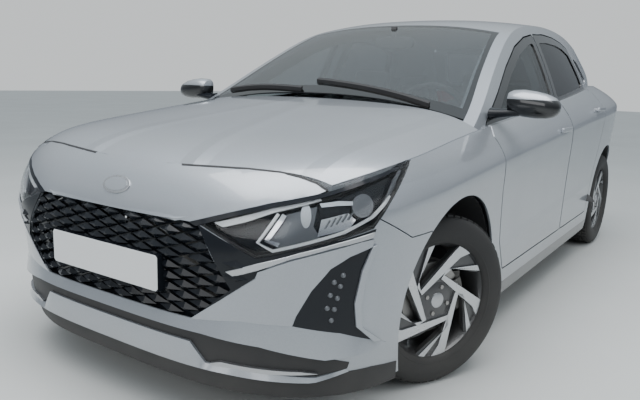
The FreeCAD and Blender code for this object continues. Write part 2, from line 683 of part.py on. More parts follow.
bonnet_shell = wall(top_net, mm.bonnet_depth, way=DOWN)
bonnet_behind = bonnet_zone(half_gap / 2)
nose_panel = wall(nose_top_net, mm.cover_wall).cut([bonnet_behind, lamp_cutter, right_of(lamp_cutter)])
nose_panel = max(nose_panel.Solids, key=lambda solid: solid.BoundBox.XMax)
keep("front_bumper", bumper_cover() + [nose_panel])
keep("bonnet", bonnet_shell.common(bonnet_zone(-half_gap / 2)))

PLATE_HEIGHT_SHARE = 0.334
# The dark faces in the bumper's openings: the same skin, sunk behind its face, with a rim that
# rests on the back of the cover.
grille_face = nose_wall(mm.grille_wall, 6, mm.grille_sink)
grille_rim = nose_wall(mm.grille_sink + mm.grille_wall - mm.cover_wall - mm.seat_gap, 6, mm.cover_wall + mm.seat_gap)


def sunk_face(shares, opening):
    """A face behind one opening, and the rim round it."""
    wide = front_cutter(front_outline(shares, 0, mm.grille_wall), front_axle_x, nose_x + mm.overrun)
    rim = grille_rim.common(wide).cut(opening)
    return grille_face.common(wide).fuse(rim)


plate_z = mm.overall_height * PLATE_HEIGHT_SHARE
holder_back_x = nose_x - mm.grille_sink - 3 * mm.grille_wall
holder = box_between(Vector(holder_back_x, -mm.plate_length / 2, plate_z - mm.plate_height / 2),
                     Vector(nose_x, mm.plate_length / 2, plate_z + mm.plate_height / 2))


def diamonds():
    """The openings between the grille's scales, in offset rows."""
    pitch_y = mm.scale_width + mm.scale_bar
    pitch_z = mm.scale_height + mm.scale_bar
    inside = Part.Face(front_outline(GRILLE_SHARES, 0, -mm.scale_bar))
    found = []
    low_z, high_z = inside.BoundBox.ZMin, inside.BoundBox.ZMax
    for row in range(int((high_z - low_z) / pitch_z * 2)):
        z = high_z - (row + 1) * pitch_z / 2
        across = int(half_width / pitch_y)
        for column in range(-across, across + 1):
            y = (column + (row % 2) / 2) * pitch_y
            half_y, half_z = mm.scale_width / 2, mm.scale_height / 2
            corners = [Vector(0, y - half_y, z), Vector(0, y, z + half_z), Vector(0, y + half_y, z),
                       Vector(0, y, z - half_z)]
            by_plate = abs(y) < mm.plate_length / 2 + half_y and abs(z - plate_z) < mm.plate_height / 2 + half_z
            if by_plate or not all(inside.isInside(corner, mm.seat_gap, True) for corner in corners):
                continue
            wire = Part.makePolygon(corners + [corners[0]])
            found.append(front_cutter(wire, front_axle_x, nose_x))
    return found


upper_grille = sunk_face(GRILLE_SHARES, grille_cutter).fuse(holder).cut(diamonds())
lower_grille = sunk_face(INTAKE_SHARES, intake_cutter)
wide_slot = slanted_cutter(skin_points(SLOT_POINTS_SHARES), LAMP_WAY_SHARES, half_width / 2, mm.grille_wall)
slot_face = corner_wall(mm.grille_wall, 3, 8, mm.cover_wall + mm.seat_gap).common(wide_slot)
keep("grilles", upper_grille.Solids + lower_grille.Solids + pair(slot_face))

lens = corner_wall(mm.lamp_wall, 2, 8).common(lamp_cutter)
lens_top = wall(nose_top_net, mm.lamp_wall).common(lamp_cutter).cut(bonnet_behind)
lens_top = max(lens_top.Solids, key=lambda solid: solid.BoundBox.XMax)
bonnet_room = wall(top_net, mm.overrun + mm.bonnet_depth + mm.shut_gap, -mm.overrun, way=DOWN)
lens_back = mm.lamp_wall + mm.seat_gap
narrow_lamp = slanted_cutter(skin_points(LAMP_POINTS_SHARES), LAMP_WAY_SHARES, half_width, -mm.cover_wall)
hollow = corner_wall(mm.lamp_depth - mm.cover_wall, 2, 8, lens_back).common(narrow_lamp)
bucket = corner_wall(mm.lamp_depth, 2, 8, lens_back).common(lamp_cutter).cut([bonnet_room, upper_grille, hollow])
keep("headlamps", pair(lens) + pair(lens_top))
bucket = max(bucket.Solids, key=lambda solid: solid.Volume)
keep("headlamp_housings", pair(bucket))

# The roof and the windscreen, cut from one sheet inside the roof rails.


def rail_line(inset):
    """The roof's edge seen from above, moved inboard."""
    points = [Vector(row[0].x, row[0].y - inset, 0) for row in canopy_net]
    curve = Part.BSplineCurve()
    curve.interpolate(points)
    return curve


def canopy_zone(inset, front_share, back_share):
    """Seen from above, the space between the two roof rails, from one X to another."""
    curve = rail_line(inset)
    left = curve.toShape()
    right = right_of(left)
    start, end = curve.StartPoint, curve.EndPoint
    ahead = start + Vector(mm.front_overhang, 0, 0)
    behind = end - Vector(mm.front_overhang, 0, 0)
    wire = Part.Wire([Part.makeLine(ahead, start), left, Part.makeLine(end, behind),
                      Part.makeLine(behind, mirrored(behind)), Part.makeLine(mirrored(behind), mirrored(end)),
                      right, Part.makeLine(mirrored(start), mirrored(ahead)), Part.makeLine(mirrored(ahead), ahead)])
    column = prism(wire, Vector(0, 0, mm.overall_height + mm.overrun))
    front_x, back_x = along("base", front_share), along("base", back_share)
    slab = box_between(Vector(back_x, -far_y, 0), Vector(front_x, far_y, mm.overall_height + mm.overrun))
    return column.common(slab)


ROOF_FRONT_SHARE = 0.442
ROOF_BACK_SHARE = 1.030
SCREEN_FOOT_SHARE = 0.135
roof_gap_share = mm.shut_gap / mm.wheelbase
roof = wall(canopy_net, mm.roof_depth, way=DOWN).common(canopy_zone(mm.ditch_width, ROOF_FRONT_SHARE, ROOF_BACK_SHARE))
keep("roof_panel", roof)
windscreen = wall(canopy_net, mm.glass_depth).common(
    canopy_zone(mm.ditch_width + mm.seat_gap, SCREEN_FOOT_SHARE, ROOF_FRONT_SHARE - roof_gap_share))
quarter_glass = pane(QUARTER_WINDOW_SHARES)
keep("fixed_glass", [windscreen] + pair(quarter_glass))

# The body sides: sills, quarter panels, roof rails and the pillars behind the doors.
side_depth = mm.door_depth + mm.post_clearance + mm.post_depth
frame_side_depth = mm.frame_depth + mm.post_clearance + mm.post_depth
post_sink = mm.door_depth + mm.post_clearance
frame_post_sink = mm.frame_depth + mm.post_clearance


# Where the pillars behind the doors thicken, to join those under the windows.
LINK_SHARES = [(0.05, 0.50), (0.05, 0.635), (1.20, 0.80), (1.20, 0.50)]


def body_side():
    door_edges = [front_door_edge, rear_door_edge]
    liner_room = axle_cylinder(rear_axle_x, mm.arch_radius + mm.liner_wall + 2 * mm.seat_gap, -mm.overrun,
                               half_width - 3 * mm.wing_wall)
    flank = flank_wall(side_depth, 10, 18).cut(door_edges + [rear_arch, liner_room])
    front_end = box_between(Vector(along("base", 0.147) - half_gap, 0, 0), Vector(nose_x, far_y, mm.overall_height))
    flank = flank.cut(front_end)
    rail = wall(pane_columns, frame_side_depth, way=INBOARD).cut(door_edges + [window_cutter(QUARTER_WINDOW_SHARES)])
    lining_depth = mm.roof_depth + mm.seat_gap
    roof_room = wall(canopy_net, mm.overrun + lining_depth, -mm.overrun, way=DOWN)
    roof_room = roof_room.common(canopy_zone(mm.ditch_width, 0.0, 2.0))
    roof_strip = wall(canopy_net, mm.post_depth, way=DOWN).cut(canopy_zone(mm.ditch_width, 0.0, 2.0))
    left_half = box_between(Vector(tail_x, 0, 0), Vector(nose_x, far_y, mm.overall_height + mm.overrun))
    roof_strip = roof_strip.common(left_half)
    openings = [door_cutter(FRONT_DOOR_SHARES, -mm.door_lap), door_cutter(REAR_DOOR_SHARES, -mm.door_lap)]
    lower_posts = flank_wall(mm.post_depth, 10, 18, post_sink).cut(openings + [liner_room, front_end])
    flank = flank.cut(body_above)
    door_room = flank_wall(post_sink, 10, 18)
    upper_posts = wall(pane_columns, mm.post_depth, frame_post_sink, way=INBOARD)
    upper_posts = upper_posts.cut(openings + [roof_room, door_room])
    link_zone = side_cutter(side_outline("base", LINK_SHARES), 0, far_y)
    links = wall(pane_columns, side_depth - frame_post_sink, frame_post_sink, way=INBOARD).common(link_zone)
    links = links.cut(openings + [roof_room, door_room])
    gate = tail_cutter(TAILGATE_SHARES, half_gap)
    away = [gate, bonnet_room.common(bonnet_zone(half_gap))] + lamp_zone
    pieces = [piece.cut(away) for piece in (flank, rail.cut(roof_room), roof_strip, lower_posts, upper_posts, links)]
    return pieces[0].fuse(pieces[1:])


# The tail. Outlines in the rear view are shares of the half width and of the height, and the
# bumper's and lamps' are shares of the tail and of the height in the side view.
TAILGATE_SHARES = [(-0.590, 1.02), (0.590, 1.02), (0.590, 0.920), (0.655, 0.740), (0.655, 0.600), (0.600, 0.425),
                   (-0.600, 0.425), (-0.655, 0.600), (-0.655, 0.740), (-0.590, 0.920)]
REAR_WINDOW_VIEW_SHARES = [(-0.500, 0.893), (0.500, 0.893), (0.580, 0.735), (-0.580, 0.735)]
REAR_BUMPER_SHARES = [(0.30, 0.0), (0.30, 0.330), (0.62, 0.425), (1.20, 0.425), (1.20, 0.0)]
TAIL_LAMP_SHARES = [(0.66, 0.668), (0.90, 0.600), (1.20, 0.600), (1.20, 0.690), (0.72, 0.700)]
SPOILER_SHARES = [
    ("tail", 0.140, 0.9640, "tail", 0.130, 0.570, 0.940),
    ("tail", 0.270, 0.9560, "tail", 0.250, 0.570, 0.930),
    ("tail", 0.400, 0.9450, "tail", 0.370, 0.560, 0.919),
    ("tail", 0.540, 0.9300, "tail", 0.490, 0.540, 0.905),
]
TAIL_LAMP_INNER_SHARE = 0.42


def tail_cutter(shares, grow=0.0, radius=0.0):
    """A rear view outline swept through the tail."""
    return front_cutter(front_outline(shares, radius, grow), tail_x - mm.overrun, along("base", ROOF_BACK_SHARE))


def tail_side_cutter(shares, grow):
    return side_cutter(side_outline("tail", shares, 0, grow), -far_y, far_y)


bumper_below = tail_side_cutter(REAR_BUMPER_SHARES, -half_gap / 2)
body_above = tail_side_cutter(REAR_BUMPER_SHARES, half_gap / 2)
rear_arches = [rear_arch, right_of(rear_arch)]
cover = tail_wall(mm.cover_wall, 15).common(bumper_below).cut(rear_arches)
keep("rear_bumper", cover)



def tail_lamp_zone(grow):
    """The two lamps' outline in the side view, outside the middle of the tailgate."""
    wire = side_outline("tail", TAIL_LAMP_SHARES, 0, grow)
    left = side_cutter(wire, half_width * TAIL_LAMP_INNER_SHARE - grow, far_y)
    return pair(left)


lamp_zone = tail_lamp_zone(0)
tail_lamp_depth = mm.lamp_depth / 2
lamp_skin = tail_wall(tail_lamp_depth, 17).common(Part.makeCompound(tail_lamp_zone(-mm.seat_gap)))
body_lamps = lamp_skin.cut(tail_cutter(TAILGATE_SHARES, half_gap))
gate_lamps = lamp_skin.common(tail_cutter(TAILGATE_SHARES, -mm.tailgate_gap))
keep("tail_lamps", body_lamps.Solids)
keep("tailgate_lamps", gate_lamps.Solids)

gate_window = tail_cutter(REAR_WINDOW_VIEW_SHARES, 0, mm.window_radius)
gate_pane = tail_cutter(REAR_WINDOW_VIEW_SHARES, -mm.seat_gap, mm.window_radius)


def tailgate():
    zone = tail_cutter(TAILGATE_SHARES, -mm.tailgate_gap)
    lower = tail_wall(mm.tailgate_depth, 18).common(zone).cut([bumper_below] + lamp_zone)
    lower = lower.cut(tail_side_cutter(REAR_BUMPER_SHARES, half_gap))
    screen = wall(screen_net, mm.tailgate_depth).common(zone).cut([gate_window] + lamp_zone)
    roof_end = wall(canopy_net, mm.roof_depth, way=DOWN).common(zone)
    roof_end = roof_end.common(canopy_zone(mm.ditch_width, ROOF_BACK_SHARE + roof_gap_share, 2.0))
    spoiler = wall(canopy_rows(SPOILER_SHARES, CANOPY_CROWN_SHARES), mm.roof_depth, way=DOWN)
    return lower.fuse([screen, roof_end, spoiler])


keep("tailgate", tailgate())
keep("tailgate_glass", wall(screen_net, mm.glass_depth, mm.seat_gap).common(gate_pane))


def rear_corners():
    """The body round the tailgate: under the lamps and beside the screen."""
    gate = tail_cutter(TAILGATE_SHARES, half_gap)
    left_half = box_between(Vector(tail_x, 0, 0), Vector(nose_x, far_y, mm.overall_height))
    corners = tail_wall(mm.tailgate_depth, 18).cut([gate, body_above] + lamp_zone).common(left_half)
    strips = wall(screen_net, mm.tailgate_depth).cut([gate] + lamp_zone).common(left_half)
    return [corners, strips]


side = body_side()
keep("body_sides", pair(side.fuse(rear_corners())))


# Pieces drawn as sketches keep the sheet's formulas with their lengths.

class Formula:
    """A length together with the sheet formula that gives it."""

    def __init__(self, value, text):
        self.value = value
        self.text = text

    def combine(self, other, sign, value_of):
        if not isinstance(other, Formula):
            other = Formula(float(other), repr(float(other)))
        return Formula(value_of(self.value, other.value), "(%s %s %s)" % (self.text, sign, other.text))

    def __add__(self, other):
        return self.combine(other, "+", lambda a, b: a + b)

    def __sub__(self, other):
        return self.combine(other, "-", lambda a, b: a - b)

    def __mul__(self, other):
        return self.combine(other, "*", lambda a, b: a * b)

    def __truediv__(self, other):
        return self.combine(other, "/", lambda a, b: a / b)


cell = SimpleNamespace(**{alias: Formula(getattr(mm, alias), "sizes." + alias) for alias, _, _ in SIZES})
ZERO = Formula(0.0, "0")


def polar(radius, turn_share):
    """A point on a circle, at a share of one spoke's pitch."""
    degrees = 360.0 / mm.spoke_count * turn_share
    text = "cos(360 deg / sizes.spoke_count * %s)" % turn_share
    across = radius * Formula(math.cos(math.radians(degrees)), text)
    up = radius * Formula(math.sin(math.radians(degrees)), text.replace("cos", "sin"))
    return across, up


def origin_plane(body, role):
    return next(item for item in body.Origin.OriginFeatures if item.Role == role)


def sketch_on(body, name, role, corners, offset=None):
    """A closed outline on one of the body's own planes, each corner tied to the sheet."""
    sketch = body.newObject("Sketcher::SketchObject", name)
    sketch.AttachmentSupport = [(origin_plane(body, role), "")]
    sketch.MapMode = "FlatFace"
    if offset:
        sketch.AttachmentOffset = Placement(Vector(0, 0, offset.value), Rotation())
        sketch.setExpression("AttachmentOffset.Base.z", offset.text)
    count = len(corners)
    for i, (across, up) in enumerate(corners):
        next_across, next_up = corners[(i + 1) % count]
        start = Vector(across.value, up.value, 0)
        end = Vector(next_across.value, next_up.value, 0)
        sketch.addGeometry(Part.LineSegment(start, end), False)
    for i in range(count):
        sketch.addConstraint(Sketcher.Constraint("Coincident", i, 2, (i + 1) % count, 1))
    for i, corner in enumerate(corners):
        for kind, length in zip(("DistanceX", "DistanceY"), corner):
            tie(sketch, kind, i, length)
    return sketch


def tie(sketch, kind, line, length):
    """One corner's distance from the sketch's origin, given by a formula."""
    if length.value >= 0:
        constraint = Sketcher.Constraint(kind, -1, 1, line, 1, length.value)
        text = length.text
    else:
        constraint = Sketcher.Constraint(kind, line, 1, -1, 1, -length.value)
        text = "-1 * " + length.text
    index = sketch.addConstraint(constraint)
    if length.text != "0":
        sketch.setExpression("Constraints[%d]" % index, text)


def new_body(label):
    body = doc.addObject("PartDesign::Body", label)
    body.Label = label
    parts.append(body)
    return body


def turned_about_axle(body, sketch, name):
    """The sketch turned all round the body's own Z axis."""
    revolution = body.newObject("PartDesign::Revolution", name)
    revolution.Profile = sketch
    revolution.ReferenceAxis = (sketch, ["V_Axis"])
    revolution.Angle = 360
    sketch.Visibility = False
    return revolution


def padded_from(body, sketch, name, length, reverse=False):
    pad = body.newObject("PartDesign::Pad", name)
    pad.Profile = sketch
    pad.Length = length.value
    pad.setExpression("Length", length.text)
    pad.Reversed = reverse
    return pad


# Where the wheels stand, and how a piece built about Z is turned to face out on each side.
steer_rest = Rotation(Vector(0, 0, 1), -mm.steer_rest)
FACING_LEFT = Rotation(Vector(1, 0, 0), -90)
FACING_RIGHT = Rotation(Vector(1, 0, 0), 90)


def wheel_places():
    """Each wheel's name, the placement of its middle, and whether it is steered."""
    places = []
    for side_name, sign, facing in (("left", 1, FACING_LEFT), ("right", -1, FACING_RIGHT)):
        pivot = Vector(front_axle_x, sign * kingpin_y, tyre_radius)
        arm = steer_rest.multVec(Vector(0, sign * mm.kingpin_inset, 0))
        places.append(("front_" + side_name, Placement(pivot + arm, steer_rest.multiply(facing))))
        rear = Vector(rear_axle_x, sign * mm.rear_track / 2, tyre_radius)
        places.append(("rear_" + side_name, Placement(rear, facing)))
    return places


bead = cell.rim_diameter / 2
tread = bead + cell.tyre_sidewall
half_rim = cell.rim_width / 2
half_tyre = cell.tyre_width / 2


def tyre(label, where):
    body = new_body(label)
    wide_at = bead + cell.tyre_sidewall * 0.5
    lip_at = bead + cell.rim_flange + cell.seat_gap
    step = half_tyre - half_rim + cell.seat_gap
    bead_side, lip_side = step + cell.rim_flange, step + cell.rim_face_set
    section = [
        (bead + cell.seat_gap, cell.tyre_width - bead_side), (lip_at, cell.tyre_width - lip_side),
        (wide_at, cell.tyre_width),
        (tread - cell.shoulder, cell.tyre_width - cell.shoulder * 0.15), (tread - cell.shoulder * 0.25,
                                                                         cell.tyre_width - cell.shoulder * 0.55),
        (tread, cell.tyre_width - cell.shoulder * 1.3), (tread, cell.shoulder * 1.3),
        (tread - cell.shoulder * 0.25, cell.shoulder * 0.55), (tread - cell.shoulder, cell.shoulder * 0.15),
        (wide_at, ZERO), (lip_at, lip_side), (bead + cell.seat_gap, bead_side),
    ]
    sketch = sketch_on(body, label + "_section", "XZ_Plane", section)
    turned_about_axle(body, sketch, label + "_turned")
    offset = where.Rotation.multVec(Vector(0, 0, -half_tyre.value))
    body.Placement = Placement(where.Base + offset, where.Rotation)
    return body


# The wheel's openings: corners as shares of the bead radius and of one spoke's pitch.
OPENING_SHARES = [(0.455, 0.10), (0.600, 0.26), (0.955, 0.84), (0.965, 1.02), (0.955, 1.20), (0.760, 1.05)]


def rim(label, where):
    """A wheel: a turned barrel and face, with openings that lean round it."""
    body = new_body(label)
    lip = bead + cell.rim_flange
    well = bead - cell.rim_well
    face_front = cell.rim_width - cell.rim_face_set
    face_back = face_front - cell.rim_face_depth
    hub_back = face_back - cell.hub_depth
    inside = bead - cell.rim_wall
    section = [
        (ZERO, hub_back), (cell.hub_radius, hub_back), (cell.hub_radius, face_back), (inside, face_back),
        (inside, half_rim * 1.3), (well - cell.rim_wall, half_rim * 1.1), (well - cell.rim_wall, half_rim * 0.6),
        (inside, half_rim * 0.4), (inside, cell.rim_face_set), (lip - cell.rim_wall, ZERO), (lip, ZERO),
        (lip, cell.rim_face_set), (bead, cell.rim_flange), (bead, half_rim * 0.4), (well, half_rim * 0.6),
        (well, half_rim * 1.1), (bead, half_rim * 1.3), (bead, cell.rim_width - cell.rim_flange),
        (lip, cell.rim_width - cell.rim_face_set), (lip, cell.rim_width), (lip - cell.rim_wall, cell.rim_width),
        (inside, face_front), (cell.hub_radius, face_front), (ZERO, face_front - cell.rim_face_set),
    ]
    sketch = sketch_on(body, label + "_section", "XZ_Plane", section)
    turned_about_axle(body, sketch, label + "_turned")
    doc.recompute()
    corners = [polar(bead * radius, -turn) for radius, turn in OPENING_SHARES]
    opening_sketch = sketch_on(body, label + "_opening", "XY_Plane", corners, face_front + cell.overrun)
    pocket = body.newObject("PartDesign::Pocket", label + "_openings")
    pocket.Profile = opening_sketch
    depth = cell.overrun + cell.rim_face_depth + cell.rim_face_set
    pocket.Length = depth.value
    pocket.setExpression("Length", depth.text)
    pattern = body.newObject("PartDesign::PolarPattern", label + "_ring")
    pattern.Originals = [pocket]
    pattern.Axis = (sketch, ["V_Axis"])
    pattern.Angle = 360
    pattern.Occurrences = int(mm.spoke_count)
    body.Tip = pattern
    offset = where.Rotation.multVec(Vector(0, 0, -half_rim.value))
    body.Placement = Placement(where.Base + offset, where.Rotation)
    return body


for name, where in wheel_places():
    tyre("tyre_" + name, where)
    rim("rim_" + name, where)


def knuckle(sign):
    """A front hub carrier with its disc, caliper and steering arm, straight ahead."""
    hub_y = mm.kingpin_inset
    back = -mm.rim_width / 2
    face_back = mm.rim_width / 2 - mm.rim_face_set - mm.rim_face_depth - mm.hub_depth
    disc = Part.makeCylinder(mm.disc_radius, mm.disc_depth, Vector(0, hub_y + face_back - mm.disc_depth * 1.5, 0),
                             Vector(0, 1, 0))
    hat = Part.makeCylinder(mm.hub_radius, mm.disc_depth * 1.5 - mm.seat_gap,
                            Vector(0, hub_y + face_back - mm.disc_depth * 1.5, 0), Vector(0, 1, 0))
    carrier = Part.makeCylinder(mm.carrier_radius, hub_y + face_back - mm.disc_depth + mm.pin_radius,
                                Vector(0, -mm.pin_radius, 0), Vector(0, 1, 0))
    post = Part.makeCylinder(mm.pin_radius * 1.5, mm.disc_radius * 1.7, Vector(0, 0, -mm.disc_radius * 0.85))
    arm = Part.makeBox(mm.disc_radius, mm.pin_radius * 2, mm.pin_radius * 1.4,
                       Vector(-mm.disc_radius, -mm.pin_radius, -mm.pin_radius * 4))
    caliper = Part.makeBox(mm.disc_depth * 3, mm.disc_depth * 3.2, mm.disc_radius * 1.1,
                           Vector(-mm.disc_radius * 1.05, hub_y + face_back - mm.disc_depth * 2.9,
                                  -mm.disc_radius * 0.55))
    whole = joined([disc, hat, carrier, post, arm, caliper])
    if sign < 0:
        whole = right_of(whole)
    whole.rotate(Vector(0, 0, 0), Vector(0, 0, 1), -mm.steer_rest)
    whole.translate(Vector(front_axle_x, sign * kingpin_y, tyre_radius))
    return whole


keep("knuckle_left", knuckle(1))
keep("knuckle_right", knuckle(-1))


# The wheel arch liners: a strip of tube over each wheel.
arch_inner_y = kingpin_y - mm.arch_radius / 2


def liner(x, inner_y, foot_z, skin_room):
    outer = axle_cylinder(x, mm.arch_radius + mm.liner_wall + mm.seat_gap, inner_y, half_width - 4 * mm.wing_wall)
    inner = axle_cylinder(x, mm.arch_radius + mm.seat_gap, inner_y - mm.overrun, far_y)
    below = box_between(Vector(x - mm.wheelbase / 2, 0, -tyre_radius), Vector(x + mm.wheelbase / 2, far_y, foot_z))
    return outer.cut([inner, below, skin_room])


rear_inner_y = mm.rear_track / 2 - mm.tyre_width / 2 - mm.wheel_clearance
room_depth = mm.overrun + mm.cover_wall + mm.seat_gap
front_liner = liner(arch_x, arch_inner_y, tyre_radius, corner_wall(room_depth, 3, 12, -mm.overrun))
rear_liner = liner(rear_axle_x, rear_inner_y, tyre_radius * 1.35, tail_wall(room_depth, 15, -mm.overrun))
liners = pair(front_liner) + pair(rear_liner)
keep("wheel_liners", liners)

# The floor: a pressed pan with its tunnel, stepping up under the rear seat and the boot.
floor_front_x = along("base", 0.152)
seat_step_x = along("base", 0.675)
boot_step_x = along("base", 0.845)
boot_back_x = along("tail", 0.84)


def block(label, low, size_formulas):
    """A box bound to the sheet, with its lowest corner placed."""
    box = doc.addObject("Part::Box", label)
    for side_name, formula in zip(("Length", "Width", "Height"), size_formulas):
        setattr(box, side_name, formula.value)
        box.setExpression(side_name, formula.text)
    box.Placement = Placement(low, Rotation())
    return box


def fused(label, pieces):
    whole = doc.addObject("Part::MultiFuse", label)
    whole.Label = label
    whole.Shapes = pieces
    parts.append(whole)
    return whole


inner_width = (cell.overall_width * 0.958 - (cell.door_depth + cell.post_clearance + cell.post_depth + cell.seat_gap) * 2)
half_inner = inner_width.value / 2


def floor_section():
    middle = inner_width / 2
    near, far = middle - cell.tunnel_width / 2, middle + cell.tunnel_width / 2
    wall_near, wall_far = near - cell.floor_depth, far + cell.floor_depth
    top = cell.tunnel_height + cell.floor_depth
    return [(ZERO, ZERO), (near, ZERO), (near, cell.tunnel_height), (far, cell.tunnel_height), (far, ZERO),
            (inner_width, ZERO), (inner_width, cell.floor_depth), (wall_far, cell.floor_depth), (wall_far, top),
            (wall_near, top), (wall_near, cell.floor_depth), (ZERO, cell.floor_depth)]


def floor_pan():
    body = doc.addObject("PartDesign::Body", "floor_pressing")
    sketch = sketch_on(body, "floor_section", "YZ_Plane", floor_section())
    padded_from(body, sketch, "floor_length", cell.wheelbase * (0.675 - 0.152))
    body.Placement = Placement(Vector(seat_step_x, -half_inner, mm.floor_height - mm.floor_depth), Rotation())
    under = mm.floor_height - mm.floor_depth
    step_size = (cell.panel_depth * 2, inner_width / 2 - cell.tunnel_width / 2,
                 cell.seat_pan_height - cell.floor_height + cell.floor_depth)
    steps = [block("seat_step_" + name, Vector(seat_step_x - mm.panel_depth, y, under), step_size)
             for name, y in (("left", mm.tunnel_width / 2), ("right", -half_inner))]
    pan = block("seat_pan", Vector(boot_step_x, -half_inner, mm.seat_pan_height - mm.panel_depth),
                (cell.wheelbase * (0.845 - 0.675), inner_width, cell.panel_depth))
    rear_width = cell.rear_track - cell.tyre_width - cell.wheel_clearance * 4
    boot_low = Vector(boot_back_x, -rear_width.value / 2, mm.boot_height - mm.panel_depth)
    boot = block("boot_floor", boot_low,
                 (Formula(boot_step_x - boot_back_x, "sizes.wheelbase * 0.155 + (sizes.overall_length - sizes.front_overhang"
                          " - sizes.wheelbase) * 0.84") + cell.panel_depth, rear_width, cell.panel_depth))
    riser = block("boot_step", Vector(boot_step_x, -half_inner, mm.seat_pan_height - mm.panel_depth),
                  (cell.panel_depth, inner_width, cell.boot_height - cell.seat_pan_height + cell.panel_depth))
    sill_low = Vector(boot_back_x, -rear_width.value / 2 * 0.9, mm.boot_height - mm.panel_depth)
    sill = block("loading_sill", sill_low,
                 (cell.panel_depth, rear_width * 0.9, cell.overall_height * 0.42 - cell.boot_height))
    pads = []
    for end, share in (("front", 0.200), ("rear", 0.640)):
        for side_name, y in (("left", half_inner - mm.pad_width), ("right", -half_inner)):
            pads.append(block("jacking_pad_%s_%s" % (end, side_name), Vector(along("base", share), y, under - mm.pad_depth),
                              (cell.pad_length, cell.pad_width, cell.pad_depth * 2)))
    latch_low = Vector(tail_x + 3 * mm.cover_wall, -mm.pad_width / 2, mm.overall_height * 0.42 - mm.panel_depth - 1)
    overhang = cell.overall_length - cell.front_overhang - cell.wheelbase
    latch = block("latch", latch_low, (overhang * 0.16 - cell.cover_wall * 3 + 1, cell.pad_width,
                                       cell.overall_height * 0.005 + cell.tailgate_gap - cell.seat_gap + cell.panel_depth + 1))
    fused("floor_pan", [body, pan, boot, riser, sill, latch] + steps + pads)


floor_pan()


def bonnet_stops(x, low_z):
    """Two rubber stops that the shut bonnet rests on."""
    room = wall(top_net, mm.overrun + mm.bonnet_depth + mm.seat_gap, -mm.overrun, way=DOWN)
    stops = []
    for name, y in (("left", mm.engine_width / 2), ("right", -mm.engine_width / 2)):
        stop = doc.addObject("Part::Feature", "bonnet_stop_" + name)
        stop.Shape = Part.makeCylinder(mm.pin_radius, mm.overall_height - low_z, Vector(x, y, low_z)).cut(room)
        lowest = min(stop.Shape.Solids, key=lambda solid: solid.BoundBox.ZMin)
        stop.Shape = lowest
        stops.append(stop)
    return stops


# The structure ahead of the cabin: bulkhead, rails, inner wings, radiator frame and bumper beam.
def front_structure():
    bulkhead_x = floor_front_x + mm.seat_gap
    rail_y = mm.engine_width / 2 + mm.rail_width / 2
    top_z = left_skin[9][-1].z - mm.bonnet_depth - mm.wheel_clearance * 2
    under = mm.floor_height - mm.floor_depth
    pieces = [block("bulkhead", Vector(bulkhead_x, -half_inner, under),
                    (cell.panel_depth, inner_width, Formula(top_z - under, str(top_z - under))))]
    rail_z = tyre_radius
    front_x = along("nose", 0.80)
    for name, y in (("left", rail_y), ("right", -rail_y - mm.rail_width)):
        rail_length = Formula(front_x - bulkhead_x, str(front_x - bulkhead_x))
        pieces.append(block("rail_" + name, Vector(bulkhead_x, y, rail_z), (rail_length, cell.rail_width,
                                                                         cell.rail_height)))
        wall_y = y if y > 0 else y + mm.rail_width - mm.panel_depth
        inner_length = Formula((front_x - bulkhead_x) * 0.72, str((front_x - bulkhead_x) * 0.72))
        pieces.append(block("inner_wing_" + name, Vector(bulkhead_x, wall_y, rail_z),
                            (inner_length, cell.panel_depth, Formula(top_z - rail_z, str(top_z - rail_z)))))
    beam_half = half_width * 0.54
    pieces.append(block("bumper_beam", Vector(front_x - 1, -beam_half, rail_z),
                        (cell.rail_width * 0.8, Formula(2 * beam_half, str(2 * beam_half)), cell.rail_height)))
    panel_x = along("nose", 0.68)
    panel_half = rail_y + mm.rail_width
    for name, z, height in (("low", mm.floor_height, mm.rail_width), ("high", top_z * 0.82, mm.panel_depth * 2)):
        pieces.append(block("cross_" + name, Vector(panel_x, -panel_half, z),
                            (cell.panel_depth * 2, Formula(2 * panel_half, str(2 * panel_half)),
                             Formula(height, str(height)))))
    for name, y in (("left", rail_y + mm.rail_width / 2), ("right", -rail_y - mm.rail_width)):
        pieces.append(block("post_" + name, Vector(panel_x, y, mm.floor_height),
                            (cell.panel_depth * 2, cell.rail_width / 2,
                             Formula(top_z * 0.82 - mm.floor_height + 1, str(top_z * 0.82 - mm.floor_height + 1)))))
    pieces += bonnet_stops(panel_x + mm.panel_depth, top_z * 0.82)
    mount_gap = rail_y - mm.engine_width / 2 + 1
    for name, y in (("left", mm.engine_width / 2 + mm.seat_gap), ("right", -rail_y - 1 - mm.seat_gap)):
        pieces.append(block("engine_mount_" + name, Vector(front_axle_x, y, rail_z + mm.panel_depth),
                            (cell.rail_width, Formula(mount_gap, str(mount_gap)), cell.rail_width)))
    fused("front_structure", pieces)


front_structure()

engine_low = Vector(front_axle_x - mm.engine_length * 0.55, -mm.engine_width / 2, mm.floor_height + mm.subframe_height)
engine = block("engine", engine_low, (cell.engine_length, cell.engine_width, cell.engine_height))
parts.append(engine)


